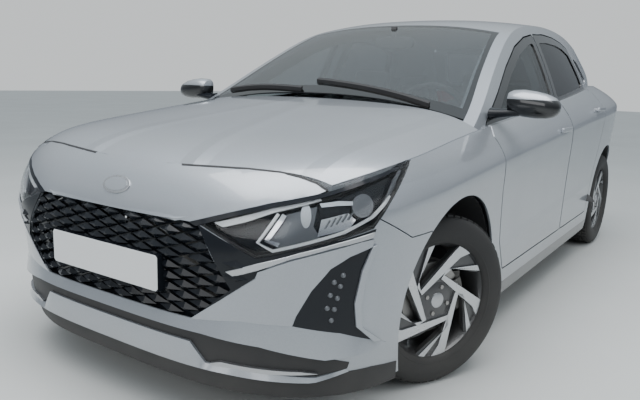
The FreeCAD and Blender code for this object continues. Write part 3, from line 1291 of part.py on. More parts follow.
# The suspension that carries the wheels: a subframe with its arms, and the rear beam.
def front_suspension():
    beam_y = mm.engine_width / 2
    low_z = mm.subframe_ground
    high = mm.subframe_height
    pin_top = tyre_radius - mm.disc_radius * 0.85 - mm.seat_gap
    back_x, front_x = front_axle_x - mm.engine_length / 2, front_axle_x + mm.engine_length * 0.3
    rail_y = beam_y + mm.rail_width / 2
    frame = [box_between(Vector(x, -rail_y - mm.rail_width, low_z), Vector(x + mm.rail_width, rail_y + mm.rail_width, low_z + high))
             for x in (back_x, front_x)]
    frame += [box_between(Vector(x, y, low_z), Vector(x + mm.rail_width, y + mm.rail_width, tyre_radius - mm.seat_gap))
              for x in (back_x, front_x) for y in (rail_y, -rail_y - mm.rail_width)]
    frame += [box_between(Vector(back_x, y, low_z), Vector(front_x + mm.rail_width, y + mm.rail_width, low_z + high))
              for y in (-beam_y, beam_y - mm.rail_width)]
    arms = []
    for sign in (1, -1):
        points = [Vector(back_x, sign * beam_y * 0.95, low_z), Vector(front_x + mm.rail_width, sign * beam_y * 0.95, low_z),
                  Vector(front_axle_x + mm.rail_width / 2, sign * (kingpin_y + mm.rail_width / 3), low_z),
                  Vector(front_axle_x - mm.rail_width / 2, sign * (kingpin_y + mm.rail_width / 3), low_z)]
        wire = rounded(points, mm.rail_width / 4)
        arms.append(prism(wire, Vector(0, 0, pin_top - low_z)))
    return joined(frame + arms)


def rear_suspension():
    stub_end = mm.rear_track / 2 - mm.rim_width / 2 + mm.rim_width - mm.rim_face_set - mm.rim_face_depth - mm.hub_depth
    arm_y = rear_inner_y - mm.beam_width
    beam_x = rear_axle_x + mm.arch_radius * 0.35
    pivot_x = rear_axle_x + mm.arch_radius
    pieces = [box_between(Vector(beam_x, -arm_y, tyre_radius - mm.beam_width / 2),
                          Vector(beam_x + mm.beam_width, arm_y, tyre_radius + mm.beam_width / 3))]
    for sign in (1, -1):
        low_y, high_y = sorted((sign * arm_y, sign * (arm_y - mm.beam_width)))
        pieces.append(box_between(Vector(rear_axle_x - mm.beam_width, low_y, tyre_radius - mm.beam_width / 2),
                                  Vector(pivot_x, high_y, tyre_radius + mm.beam_width / 3)))
        start = Vector(rear_axle_x, sign * (arm_y - mm.beam_width / 2), tyre_radius)
        out = Vector(0, sign, 0)
        pieces.append(Part.makeCylinder(mm.pin_radius * 2, stub_end - mm.seat_gap - arm_y + mm.beam_width / 2, start, out))
        drum = Vector(rear_axle_x, sign * (stub_end - mm.disc_depth * 3), tyre_radius)
        pieces.append(Part.makeCylinder(mm.disc_radius * 0.85, mm.disc_depth * 2, drum, out))
        spring_low = tyre_radius + mm.beam_width / 3 - 1
        spring = Part.makeCylinder(mm.carrier_radius, mm.boot_height - mm.panel_depth - mm.seat_gap - spring_low,
                                   Vector(rear_axle_x + mm.beam_width * 0.4, sign * (arm_y - mm.beam_width / 2), spring_low))
        pieces.append(spring)
    return joined(pieces)


keep("suspension", [front_suspension(), rear_suspension()])


# Under the floor: the exhaust on the right of the middle and the tank beside it.
def exhaust():
    pipe_y = -mm.tunnel_width / 4
    pipe_z = mm.floor_height + mm.exhaust_radius / 2
    start_x = floor_front_x
    end_x = along("tail", 0.45)
    pipe = Part.makeCylinder(mm.exhaust_radius, start_x - end_x, Vector(end_x, pipe_y, pipe_z), Vector(1, 0, 0))
    box_z = mm.boot_height - mm.panel_depth - mm.silencer_radius - mm.wheel_clearance
    silencer = Part.makeCylinder(mm.silencer_radius, mm.tank_width, Vector(end_x, pipe_y - mm.tank_width * 0.8, box_z),
                                 Vector(0, 1, 0))
    return pipe.fuse(silencer)


keep("exhaust", exhaust())
tank = block("fuel_tank", Vector(boot_step_x + mm.panel_depth, mm.tunnel_width / 8, mm.seat_pan_height - mm.panel_depth
                                 - mm.tank_depth - mm.seat_gap), (cell.tank_length, cell.tank_width, cell.tank_depth))
parts.append(tank)


# The cabin.
DASH_SHARES = [(0.0, 0.0), (0.0, 0.93), (0.25, 1.0), (0.75, 0.96), (1.0, 0.86), (1.03, 0.62), (0.86, 0.35),
               (0.74, 0.0)]
dash_front_x = floor_front_x - mm.seat_gap
dash_low_z = mm.overall_height * 0.385


def soft_block(low, size, tilt=0.0):
    """A cushion's plain solid: a block with round edges, leaning back by some degrees."""
    shape = Part.makeBox(size.x, size.y, size.z, low)
    shape = shape.makeFillet(min(mm.seat_radius, min(size.x, size.y, size.z) * 0.35), shape.Edges)
    if tilt:
        shape.rotate(low, Vector(0, 1, 0), -tilt)
    return shape


def dashboard():
    points = [Vector(dash_front_x - x * mm.dash_length, -half_inner, dash_low_z + z * mm.dash_height)
              for x, z in DASH_SHARES]
    top = prism(rounded(points, mm.seat_radius / 2), Vector(0, 2 * half_inner, 0))
    console = box_between(Vector(seat_front_x - mm.seat_length, -mm.console_width / 2, console_low_z),
                          Vector(dash_front_x - mm.dash_length * 0.4, mm.console_width / 2, dash_low_z))
    column_start = Vector(dash_front_x - mm.dash_length * 0.6, driver_y, wheel_centre.z - mm.wheel_grip_radius * 0.75)
    way = wheel_centre - column_start
    length = way.Length - mm.wheel_grip * 1.3
    column = Part.makeCylinder(mm.carrier_radius * 0.8, length - mm.seat_gap, column_start, way)
    return joined([top.cut(pair(side)), console, column])


driver_y = mm.console_width / 2 + mm.seat_width / 2 + mm.wheel_clearance
seat_front_x = along("base", 0.305)
console_low_z = mm.floor_height + mm.tunnel_height + mm.seat_gap
wheel_centre = Vector(along("base", 0.335), driver_y, mm.overall_height * 0.615)
keep("dashboard", dashboard())


def steering_wheel():
    column_start = Vector(dash_front_x - mm.dash_length * 0.6, driver_y, wheel_centre.z - mm.wheel_grip_radius * 0.75)
    way = (wheel_centre - column_start).normalize()
    grip = Part.makeTorus(mm.wheel_grip_radius, mm.wheel_grip)
    boss = Part.makeCylinder(mm.wheel_grip_radius * 0.36, mm.wheel_grip * 2.6, Vector(0, 0, -mm.wheel_grip * 1.3))
    spokes = []
    for turn in (0, 180, 270):
        spoke = Part.makeBox(mm.wheel_grip_radius, mm.wheel_grip * 2.4, mm.wheel_grip * 1.2,
                             Vector(0, -mm.wheel_grip * 1.2, -mm.wheel_grip * 0.6))
        spoke.rotate(Vector(0, 0, 0), Vector(0, 0, 1), turn)
        spokes.append(spoke)
    whole = joined([grip, boss] + spokes)
    whole.Placement = Placement(wheel_centre, Rotation(Vector(0, 0, 1), way)).multiply(whole.Placement)
    return whole


keep("steering_wheel", steering_wheel())


def seats():
    solids = []
    base_z = mm.seat_pan_height
    for sign in (1, -1):
        low_y = sign * driver_y - mm.seat_width / 2
        back_x = seat_front_x - mm.seat_length
        solids.append(soft_block(Vector(back_x, low_y, base_z), Vector(mm.seat_length, mm.seat_width, mm.cushion_depth)))
        plinth = box_between(Vector(back_x + mm.seat_radius, low_y + mm.seat_radius, mm.floor_height + mm.seat_gap),
                             Vector(back_x + mm.seat_length - mm.seat_radius, low_y + mm.seat_width - mm.seat_radius,
                                    base_z - mm.seat_gap))
        solids.append(plinth)
        back = soft_block(Vector(back_x - mm.back_depth + mm.seat_radius * 0.8, low_y, base_z + mm.cushion_depth * 0.5),
                          Vector(mm.back_depth, mm.seat_width, mm.back_height), SEAT_TILT).cut(solids[-2])
        solids.append(back)
        top = back.BoundBox
        head_low = Vector(top.XMin + mm.back_depth * 0.15, sign * driver_y - mm.headrest_width / 2, top.ZMax - mm.seat_radius / 3)
        head = soft_block(head_low, Vector(mm.back_depth * 0.7, mm.headrest_width, mm.headrest_height))
        solids.append(head.cut(back))
    low_y = -mm.rear_seat_width / 2
    bench_x = boot_step_x + mm.panel_depth * 2
    solids.append(soft_block(Vector(bench_x + mm.back_depth * 0.6, low_y, mm.seat_pan_height + mm.seat_gap),
                             Vector(mm.rear_seat_length, mm.rear_seat_width, mm.cushion_depth)))
    rear_back = soft_block(Vector(bench_x - mm.back_depth * 0.45, low_y, mm.boot_height - mm.panel_depth / 2),
                           Vector(mm.back_depth, mm.rear_seat_width, mm.back_height * 0.9), SEAT_TILT * 0.5)
    boot_block = box_between(Vector(tail_x, -half_width, 0), Vector(boot_step_x + mm.panel_depth, half_width,
                                                                    mm.boot_height + mm.seat_gap))
    solids.append(rear_back.cut([boot_block, solids[-1]]))
    return solids


SEAT_TILT = 18
keep("seats", seats())


# The door mirrors, on arms from the front doors.
MIRROR_SHARE = 0.195
MIRROR_HEIGHT_SHARE = 0.694


def mirror():
    middle_x = along("base", MIRROR_SHARE)
    middle_z = mm.overall_height * MIRROR_HEIGHT_SHARE
    inner_y = half_width * 0.912
    shape = Part.makeBox(mm.mirror_length, mm.mirror_width, mm.mirror_height,
                         Vector(middle_x - mm.mirror_length / 2, inner_y, middle_z - mm.mirror_height / 2))
    shape = shape.makeFillet(mm.mirror_height * 0.32, shape.Edges)
    foot_low = middle_z - mm.mirror_height * 0.72
    foot = box_between(Vector(middle_x - mm.mirror_length * 0.35, half_width * 0.87, foot_low),
                       Vector(middle_x + mm.mirror_length * 0.1, inner_y + mm.mirror_width / 4, middle_z))
    return shape.fuse(foot).cut(front_door)


left_mirror = mirror()
keep("mirror_left", left_mirror)
keep("mirror_right", right_of(left_mirror))


# The cowl under the bonnet's end, with two wiper arms on the screen.
def wipers():
    cowl = wall(canopy_net, mm.roof_depth / 2, mm.bonnet_depth * 1.6, way=DOWN).common(
        canopy_zone(mm.ditch_width, 0.085, SCREEN_FOOT_SHARE + 0.01)).cut(pair(side))
    arms = []
    for start_share, end_share in ((0.62, -0.08), (-0.12, -0.70)):
        root_x, tip_x = along("base", SCREEN_FOOT_SHARE + 0.004), along("base", SCREEN_FOOT_SHARE + 0.035)
        points = [Vector(root_x, start_share * half_width, 0), Vector(root_x - mm.wiper_width, start_share * half_width, 0),
                  Vector(tip_x - mm.wiper_width, end_share * half_width, 0), Vector(tip_x, end_share * half_width, 0)]
        column = prism(Part.makePolygon(points + [points[0]]), Vector(0, 0, mm.overall_height))
        arms += wall(canopy_net, mm.wiper_width, -mm.wiper_width - mm.seat_gap, way=DOWN).common(column).Solids
    return cowl.Solids + arms


keep("cowl_wipers", wipers())

doc.recompute()
for item in doc.Objects:
    if "Invalid" in item.State or "Error" in item.State:
        raise RuntimeError("%s did not build" % item.Label)
for part in parts:
    if part.Shape.isNull() or not part.Shape.isValid():
        raise RuntimeError("%s is not a valid shape" % part.Label)
os.makedirs("parts", exist_ok=True)
for part in parts:
    part.Shape.exportStep("parts/%s.step" % part.Label)
    print(part.Label, round(part.Shape.Volume / 1e6, 2), len(part.Shape.Solids))
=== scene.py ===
# %% [markdown]
# # A small hatchback, dressed over its CAD frame
# The CAD tools made every panel, wheel and hinge of this car at its real size.
# Here Blender gives it paint, glass, rubber and cloth, and adds the fine pieces
# that a solid modeller leaves out: tyre tread, bright wheel faces, lamp insides,
# trims and padded seats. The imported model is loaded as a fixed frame, so a piece
# that is placed in metres lands where the CAD says, with no fitting.

# %% Load the fixed frame
import math
import bmesh
import bpy
import numpy as np
from mathutils import Matrix, Vector
from mathutils.bvhtree import BVHTree
from mathutils.geometry import delaunay_2d_cdt


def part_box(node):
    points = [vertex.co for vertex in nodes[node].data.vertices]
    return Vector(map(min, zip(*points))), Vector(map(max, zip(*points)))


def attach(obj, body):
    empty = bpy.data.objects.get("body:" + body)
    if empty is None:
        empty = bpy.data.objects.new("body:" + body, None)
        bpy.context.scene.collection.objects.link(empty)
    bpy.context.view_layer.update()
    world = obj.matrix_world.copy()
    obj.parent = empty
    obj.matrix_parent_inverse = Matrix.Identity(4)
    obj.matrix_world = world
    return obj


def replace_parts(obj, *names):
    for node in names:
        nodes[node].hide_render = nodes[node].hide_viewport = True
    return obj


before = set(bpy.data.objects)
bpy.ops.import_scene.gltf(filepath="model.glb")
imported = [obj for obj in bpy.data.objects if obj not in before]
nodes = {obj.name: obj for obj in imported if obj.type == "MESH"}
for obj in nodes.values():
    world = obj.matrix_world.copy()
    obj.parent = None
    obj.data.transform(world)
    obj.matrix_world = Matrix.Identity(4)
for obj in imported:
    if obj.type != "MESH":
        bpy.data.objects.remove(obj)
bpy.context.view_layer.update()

scene = bpy.context.scene

# %% [markdown]
# ## The camera
# The photograph was taken from the front left, low and close. Its place, its
# direction, its small tilt and its lens were worked out from points of the car
# whose real places are known, such as wheel middles and the corners of the plate.

# %% Camera at the photograph's viewing angle
PHOTO_WIDTH = 640
PHOTO_HEIGHT = 400
FOCAL_PIXELS = 628.8
eye = Vector((3.25807, 1.66292, 1.07097))
ahead = Vector((-0.81434, -0.54877, -0.18895)).normalized()
tilt = math.radians(1.79)
level_right = ahead.cross(Vector((0, 0, 1))).normalized()
level_up = level_right.cross(ahead)
right = math.cos(tilt) * level_right + math.sin(tilt) * level_up
up = -math.sin(tilt) * level_right + math.cos(tilt) * level_up

camera = bpy.data.objects.new("photo_camera", bpy.data.cameras.new("photo_camera"))
camera.data.sensor_width = 36
camera.data.lens = FOCAL_PIXELS / PHOTO_WIDTH * camera.data.sensor_width
turn = Matrix((right, up, -ahead)).transposed().to_4x4()
turn.translation = eye
camera.matrix_world = turn
scene.collection.objects.link(camera)
scene.camera = camera
print("camera at", tuple(round(value, 3) for value in eye))


def sight(pixel):
    """The direction in which the camera sees a place of the photograph."""
    across = pixel[0] - PHOTO_WIDTH / 2
    down = pixel[1] - PHOTO_HEIGHT / 2
    return (ahead * FOCAL_PIXELS + right * across - up * down).normalized()


# %% [markdown]
# ## Floor and light
# A plain pale floor and soft lamps stand in for a studio. One wide lamp hangs
# over the bonnet, one stands at the nose and one lights the left side, so the
# panels show long, calm gradients as they do under an even sky.

# %% Floor, sky and soft lamps
def mesh_object(name, points, faces):
    """A new mesh object in the scene, with its place in its mesh."""
    mesh = bpy.data.meshes.new(name)
    mesh.from_pydata([tuple(point) for point in points], [], faces)
    mesh.validate()
    made = bpy.data.objects.new(name, mesh)
    scene.collection.objects.link(made)
    return made


FLOOR_REACH = 30
floor = mesh_object(
    "floor",
    [(-FLOOR_REACH, -FLOOR_REACH, 0), (FLOOR_REACH, -FLOOR_REACH, 0),
     (FLOOR_REACH, FLOOR_REACH, 0), (-FLOOR_REACH, FLOOR_REACH, 0)],
    [(0, 1, 2, 3)],
)

# %% The sky: dark at the horizon, bright overhead, and plain where the camera sees it
SKY_STOPS = ((0.0, (0.30, 0.335, 0.39, 1)), (0.5, (0.88, 0.96, 1.0, 1)), (0.85, (1.45, 1.62, 1.75, 1)))
SKY_STRENGTH = 0.60
BACKDROP = (0.78, 0.81, 0.82, 1)

sky = bpy.data.worlds.new("soft_sky")
sky.use_nodes = True
dome = sky.node_tree
height_of = dome.nodes.new("ShaderNodeSeparateXYZ")
ramp = dome.nodes.new("ShaderNodeValToRGB")
dome.links.new(dome.nodes.new("ShaderNodeTexCoord").outputs["Generated"], height_of.inputs[0])
dome.links.new(height_of.outputs["Z"], ramp.inputs["Fac"])
dome.links.new(ramp.outputs["Color"], dome.nodes["Background"].inputs["Color"])
stops = ramp.color_ramp.elements
stops.new(SKY_STOPS[1][0])
for stop, (position, colour) in zip(stops, SKY_STOPS):
    stop.position = position
    stop.color = colour
dome.nodes["Background"].inputs["Strength"].default_value = SKY_STRENGTH
backdrop = dome.nodes.new("ShaderNodeBackground")
backdrop.inputs["Color"].default_value = BACKDROP
chosen = dome.nodes.new("ShaderNodeMixShader")
dome.links.new(dome.nodes.new("ShaderNodeLightPath").outputs["Is Camera Ray"], chosen.inputs[0])
dome.links.new(dome.nodes["Background"].outputs[0], chosen.inputs[1])
dome.links.new(backdrop.outputs[0], chosen.inputs[2])
dome.links.new(chosen.outputs[0], dome.nodes["World Output"].inputs["Surface"])
scene.world = sky

# %% Soft lamps: place, aim, width, depth, power, and whether surfaces mirror them
LAMPS = {
    "ceiling_lamp": ((1.8, 0.3, 5.0), (1.4, 0, 0), 6, 4, 330, True),
    "nose_lamp": ((6.5, 0.5, 2.6), (1.5, 0, 0.6), 4, 2, 60, True),
    "side_lamp": ((0.0, 6.5, 3.0), (0, 0, 0.6), 6, 1.6, 60, False),
}
for name, (place, aim, width, depth, power, mirrored) in LAMPS.items():
    lamp = bpy.data.lights.new(name, "AREA")
    lamp.shape = "RECTANGLE"
    lamp.size, lamp.size_y, lamp.energy = width, depth, power
    holder = bpy.data.objects.new(name, lamp)
    holder.location = place
    holder.rotation_euler = (Vector(aim) - Vector(place)).to_track_quat("-Z", "Y").to_euler()
    holder.visible_glossy = mirrored
    scene.collection.objects.link(holder)
print("floor, sky and", len(LAMPS), "lamps")

# %% [markdown]
# ## Effects shared by the materials
# Real finishes are never one flat colour. Small shader groups give the changes
# that several materials need: tiny flakes in the paint, the grain of moulded
# plastic, road dust that thickens towards the ground, a slanted line that parts
# two finishes, and a pressed crease. The seats add a weave further down. Each
# group is built once, has named inputs and puts out only colours, masks and
# values that vary over the surface.

# %% Helpers for shader groups
def shader_group(name, inputs, outputs):
    """An empty shader group with named inputs and outputs, and its two ends."""
    tree = bpy.data.node_groups.new(name, "ShaderNodeTree")
    for label, kind, value in inputs:
        socket = tree.interface.new_socket(name=label, in_out="INPUT", socket_type=kind)
        socket.default_value = value
    for label, kind in outputs:
        tree.interface.new_socket(name=label, in_out="OUTPUT", socket_type=kind)
    return tree, tree.nodes.new("NodeGroupInput"), tree.nodes.new("NodeGroupOutput")


def add(tree, kind, **settings):
    """A new node in a tree, with its settings."""
    node = tree.nodes.new(kind)
    for key, value in settings.items():
        setattr(node, key, value)
    return node


def maths(tree, operation, first, second=None, third=None, clamp=False):
    """A sum of values or links, as one Math node; returns its output."""
    node = add(tree, "ShaderNodeMath", operation=operation, use_clamp=clamp)
    for place, item in enumerate((first, second, third)):
        if item is None:
            continue
        if isinstance(item, bpy.types.NodeSocket):
            tree.links.new(item, node.inputs[place])
        else:
            node.inputs[place].default_value = item
    return node.outputs[0]


def mixed(tree, share, first, second):
    """Two colours mixed by a share; returns the colour."""
    node = add(tree, "ShaderNodeMix", data_type="RGBA")
    for socket, item in ((node.inputs["Factor"], share), (node.inputs[6], first), (node.inputs[7], second)):
        if isinstance(item, bpy.types.NodeSocket):
            tree.links.new(item, socket)
        else:
            socket.default_value = item
    return node.outputs[2]


def object_place(tree):
    """Where a point is in the car's own frame."""
    return add(tree, "ShaderNodeTexCoord").outputs["Object"]


def noise(tree, scale, detail=3.0, source=None):
    """Soft random patches of a size; returns the value."""
    node = add(tree, "ShaderNodeTexNoise")
    node.inputs["Detail"].default_value = detail
    if isinstance(scale, bpy.types.NodeSocket):
        tree.links.new(scale, node.inputs["Scale"])
    else:
        node.inputs["Scale"].default_value = scale
    tree.links.new(source or object_place(tree), node.inputs["Vector"])
    return node.outputs["Fac"]


def axes(tree):
    """The X, Y and Z of a point in the car's own frame, as outputs."""
    split = add(tree, "ShaderNodeSeparateXYZ")
    tree.links.new(object_place(tree), split.inputs["Vector"])
    return split.outputs


COLOUR = "NodeSocketColor"
NUMBER = "NodeSocketFloat"
VECTOR = "NodeSocketVector"

# %% Paint flake: bright specks, faint patches and a slight orange peel
flake, begin, end = shader_group(
    "paint_flake",
    [("Paint", COLOUR, (0.5, 0.5, 0.5, 1)), ("Flake Size", NUMBER, 900.0), ("Sparkle", NUMBER, 0.12)],
    [("Color", COLOUR), ("Roughness", NUMBER), ("Height", NUMBER)],
)
cells = add(flake, "ShaderNodeTexVoronoi", feature="F1")
flake.links.new(object_place(flake), cells.inputs["Vector"])
flake.links.new(begin.outputs["Flake Size"], cells.inputs["Scale"])
speck = add(flake, "ShaderNodeSeparateColor")
flake.links.new(cells.outputs["Color"], speck.inputs["Color"])
shine = maths(flake, "MULTIPLY", speck.outputs["Red"], begin.outputs["Sparkle"])
patches = maths(flake, "MULTIPLY", noise(flake, 2.5), 0.05)
flake.links.new(
    mixed(flake, maths(flake, "ADD", shine, patches, clamp=True), begin.outputs["Paint"], (0.95, 0.97, 1.0, 1)),
    end.inputs["Color"],
)
flake.links.new(
    maths(flake, "MULTIPLY_ADD", noise(flake, 6.0), 0.08, 0.30), end.inputs["Roughness"]
)
flake.links.new(noise(flake, 160.0, detail=1.0), end.inputs["Height"])

# %% Moulded grain: the fine pebbled skin of plastic, rubber and cast metal
grain, begin, end = shader_group(
    "moulded_grain",
    [("Base", COLOUR, (0.1, 0.1, 0.1, 1)), ("Grain Scale", NUMBER, 700.0),
     ("Contrast", NUMBER, 0.25), ("Shine", NUMBER, 0.5)],
    [("Color", COLOUR), ("Roughness", NUMBER), ("Height", NUMBER)],
)
pebbles = noise(grain, begin.outputs["Grain Scale"], detail=4.0)
broad = noise(grain, 5.0, detail=4.0)
tone = maths(grain, "ADD", maths(grain, "MULTIPLY", pebbles, 0.5), broad)
tone = maths(grain, "MULTIPLY", tone, begin.outputs["Contrast"])
grain.links.new(
    mixed(grain, maths(grain, "MULTIPLY", tone, 0.6, clamp=True), begin.outputs["Base"], (0.55, 0.54, 0.52, 1)),
    end.inputs["Color"],
)
uneven = maths(grain, "MULTIPLY", maths(grain, "SUBTRACT", broad, 0.5), 0.3)
grain.links.new(maths(grain, "ADD", begin.outputs["Shine"], uneven, clamp=True), end.inputs["Roughness"])
grain.links.new(pebbles, end.inputs["Height"])

# %% Road dust: pale dirt that thickens towards the ground
dust, begin, end = shader_group(
    "road_dust",
    [("Base", COLOUR, (0.5, 0.5, 0.5, 1)), ("Top", NUMBER, 0.45), ("Amount", NUMBER, 0.4)],
    [("Color", COLOUR)],
)
share_up = maths(dust, "DIVIDE", axes(dust)["Z"], begin.outputs["Top"])
depth = maths(dust, "SUBTRACT", 1.0, share_up, clamp=True)
cloudy = maths(dust, "MULTIPLY", depth, noise(dust, 9.0, detail=6.0))
mask = maths(dust, "MULTIPLY", cloudy, begin.outputs["Amount"], clamp=True)
dust.links.new(mixed(dust, mask, begin.outputs["Base"], (0.42, 0.39, 0.34, 1)), end.inputs["Color"])

# %% Slanted line: 1 above a line that falls towards the nose, 0 below it
LINE_SHARPNESS = 1500.0
line, begin, end = shader_group(
    "slanted_line",
    [("Level", NUMBER, 0.967), ("Fall", NUMBER, 0.0816)],
    [("Mask", NUMBER)],
)
place = axes(line)
height = maths(line, "ADD", place["Z"], maths(line, "MULTIPLY", place["X"], begin.outputs["Fall"]))
over = maths(line, "SUBTRACT", height, begin.outputs["Level"])
line.links.new(maths(line, "MULTIPLY_ADD", over, LINE_SHARPNESS, 0.5, clamp=True), end.inputs["Mask"])

# %% Pressed crease: a soft ridge where a panel meets a slanted plane
crease, begin, end = shader_group(
    "pressed_crease",
    [("Facing", VECTOR, (0, 0, 1)), ("Offset", NUMBER, 0.0), ("Width", NUMBER, 0.05)],
    [("Height", NUMBER)],
)
place = axes(crease)
folded = add(crease, "ShaderNodeCombineXYZ")
crease.links.new(place["X"], folded.inputs["X"])
crease.links.new(maths(crease, "ABSOLUTE", place["Y"]), folded.inputs["Y"])
crease.links.new(place["Z"], folded.inputs["Z"])
along_plane = add(crease, "ShaderNodeVectorMath", operation="DOT_PRODUCT")
crease.links.new(folded.outputs["Vector"], along_plane.inputs[0])
crease.links.new(begin.outputs["Facing"], along_plane.inputs[1])
away = maths(crease, "SUBTRACT", along_plane.outputs["Value"], begin.outputs["Offset"])
away = maths(crease, "DIVIDE", maths(crease, "ABSOLUTE", away), begin.outputs["Width"])
crease.links.new(maths(crease, "SUBTRACT", 1.0, away, clamp=True), end.inputs["Height"])
print("shader groups:", [tree.name for tree in bpy.data.node_groups])

# %% [markdown]
# ## Materials
# One Principled shader stands in each material. Numbers that are the same all
# over, such as metal or coat, are set on the shader itself, and only what
# changes over the surface comes from a group. The paint is a cool silver under
# a clear coat. Doors share the paint but turn gloss black above the belt line,
# where their window frames are.

# %% Helpers for materials
COAT_ROUGHNESS = 0.04


def material(name, metallic=0.0, roughness=0.5, coat=0.0, **sockets):
    """A new material with one Principled shader; returns it, its tree and the shader."""
    made = bpy.data.materials.new(name)
    made.use_nodes = True
    shader = made.node_tree.nodes["Principled BSDF"]
    shader.inputs["Metallic"].default_value = metallic
    shader.inputs["Roughness"].default_value = roughness
    shader.inputs["Coat Weight"].default_value = coat
    shader.inputs["Coat Roughness"].default_value = COAT_ROUGHNESS
    for label, value in sockets.items():
        shader.inputs[label.replace("_", " ")].default_value = value
    return made, made.node_tree, shader


def place_group(tree, group, **values):
    """A shader group placed in a material, with its own values."""
    node = add(tree, "ShaderNodeGroup", node_tree=group)
    for label, value in values.items():
        socket = node.inputs[label.replace("_", " ")]
        if isinstance(value, bpy.types.NodeSocket):
            tree.links.new(value, socket)
        else:
            socket.default_value = value
    return node


def bumped(tree, shader, height, strength, reach):
    """A Bump node between a height and the shader's normal."""
    bump = add(tree, "ShaderNodeBump")
    bump.inputs["Strength"].default_value = strength
    bump.inputs["Distance"].default_value = reach
    tree.links.new(height, bump.inputs["Height"])
    tree.links.new(bump.outputs["Normal"], shader.inputs["Normal"])


SILVER = (0.325, 0.350, 0.385, 1)
BLACK = (0.012, 0.013, 0.015, 1)
PEEL_HEIGHT = 0.0005
CREASE_HEIGHT = 0.0055


def painted(name, level=None, fall=0.0, above=True, creases=()):
    """Silver paint; with a level, the side above or below that line is gloss black. Creases are pressed in."""
    made, tree, shader = material(name, metallic=0.55, coat=1.0)
    flakes = place_group(tree, flake, Paint=SILVER, Flake_Size=900.0, Sparkle=0.10)
    colour = flakes.outputs["Color"]
    if level is not None:
        parted = place_group(tree, line, Level=level, Fall=fall).outputs["Mask"]
        pair = (colour, BLACK) if above else (BLACK, colour)
        colour = mixed(tree, parted, *pair)
    dirt = place_group(tree, dust, Base=colour, Top=0.40, Amount=0.35)
    tree.links.new(dirt.outputs["Color"], shader.inputs["Base Color"])
    tree.links.new(flakes.outputs["Roughness"], shader.inputs["Roughness"])
    if not creases:
        bumped(tree, shader, flakes.outputs["Height"], 0.04, PEEL_HEIGHT)
        return made
    ridges = 0.0
    for facing, offset, wide in creases:
        ridge = place_group(tree, crease, Facing=facing, Offset=offset, Width=wide).outputs["Height"]
        ridges = ridge if ridges == 0.0 else maths(tree, "ADD", ridges, ridge)
    bumped(tree, shader, ridges, 1.0, CREASE_HEIGHT)
    return made


def plastic(
    name, base, shine=0.5, scale=700.0, contrast=0.25, bump=0.25, reach=0.0006, metallic=0.0,
    dirt_top=0.4, dirt=0.3, coat=0.0, specular=0.5,
):
    """Moulded plastic, rubber or cast metal with grain and some road dust."""
    made, tree, shader = material(name, metallic=metallic, coat=coat, Specular_IOR_Level=specular)
    skin = place_group(tree, grain, Base=base, Grain_Scale=scale, Contrast=contrast, Shine=shine)
    dirty = place_group(tree, dust, Base=skin.outputs["Color"], Top=dirt_top, Amount=dirt)
    tree.links.new(dirty.outputs["Color"], shader.inputs["Base Color"])
    tree.links.new(skin.outputs["Roughness"], shader.inputs["Roughness"])
    bumped(tree, shader, skin.outputs["Height"], bump, reach)
    return made


def clear(name, tint, roughness=0.02, transmission=1.0, index=1.45):
    """Glass or clear plastic with faint smears in its shine."""
    made, tree, shader = material(name, Transmission_Weight=transmission, IOR=index)
    smear = maths(tree, "MULTIPLY_ADD", noise(tree, 7.0, detail=5.0), 0.03, roughness)
    tree.links.new(smear, shader.inputs["Roughness"])
    paler = tuple(min(1, 1.08 * part) for part in tint)
    tree.links.new(mixed(tree, noise(tree, 1.2), tint, paler), shader.inputs["Base Color"])
    return made


# %% The finishes
paint = painted("silver_paint")
# Each crease is the facing of its plane, the plane's distance and the width of the ridge.
SIDE_CREASES = (((0.079, 0, 0.997), 0.8333, 0.060), ((0.045, 0, 0.999), 0.430, 0.045))
wing_paint = painted("silver_wing_paint", creases=SIDE_CREASES)
door_paint = painted("silver_paint_black_window_frame", level=0.9669, fall=0.0816, creases=SIDE_CREASES)
mirror_paint = painted("silver_cap_black_foot", level=1.002, fall=-0.02, above=False)
sill_paint = painted("silver_paint_black_sill", level=0.232, fall=0.0, above=False, creases=SIDE_CREASES[:1])
gloss_black = plastic(
    "gloss_black_trim", (0.006, 0.008, 0.012, 1), shine=0.18, contrast=0.015, bump=0.03, dirt=0.05, specular=0.28,
)
matt_black = plastic("matt_black_plastic", (0.014, 0.014, 0.016, 1), shine=0.55, contrast=0.05, dirt=0.15, specular=0.35)
rubber = plastic(
    "tyre_rubber", (0.016, 0.016, 0.017, 1), shine=0.68, scale=450.0, contrast=0.05,
    dirt_top=0.62, dirt=0.12, specular=0.35,
)
satin_metal = plastic("satin_silver_trim", (0.50, 0.51, 0.53, 1), shine=0.30, contrast=0.08, bump=0.05, metallic=0.9)
bright_alloy = plastic(
    "machined_alloy", (0.60, 0.61, 0.63, 1), shine=0.28, scale=1200.0, contrast=0.06, bump=0.05, metallic=1.0,
    dirt_top=0.6, dirt=0.2,
)
dark_alloy = plastic(
    "dark_alloy", (0.050, 0.052, 0.058, 1), shine=0.34, contrast=0.08, bump=0.06, metallic=0.6,
    dirt_top=0.6, dirt=0.25, coat=0.4,
)
cast_iron = plastic(
    "cast_iron", (0.10, 0.095, 0.09, 1), shine=0.62, scale=260.0, contrast=0.5, bump=0.5, reach=0.0015, metallic=0.7,
)
steel = plastic("rolled_steel", (0.32, 0.31, 0.30, 1), shine=0.42, scale=180.0, contrast=0.4, bump=0.2, metallic=0.9)
underseal = plastic(
    "underseal", (0.045, 0.043, 0.04, 1), shine=0.75, scale=240.0, contrast=0.5, bump=0.6, reach=0.002,
    dirt_top=0.5, dirt=0.6,
)
cabin_plastic = plastic(
    "soft_cabin_plastic", (0.055, 0.055, 0.058, 1), shine=0.6, scale=900.0, contrast=0.12, bump=0.35,
)
window_glass = clear("tinted_window_glass", (0.42, 0.46, 0.46, 1))
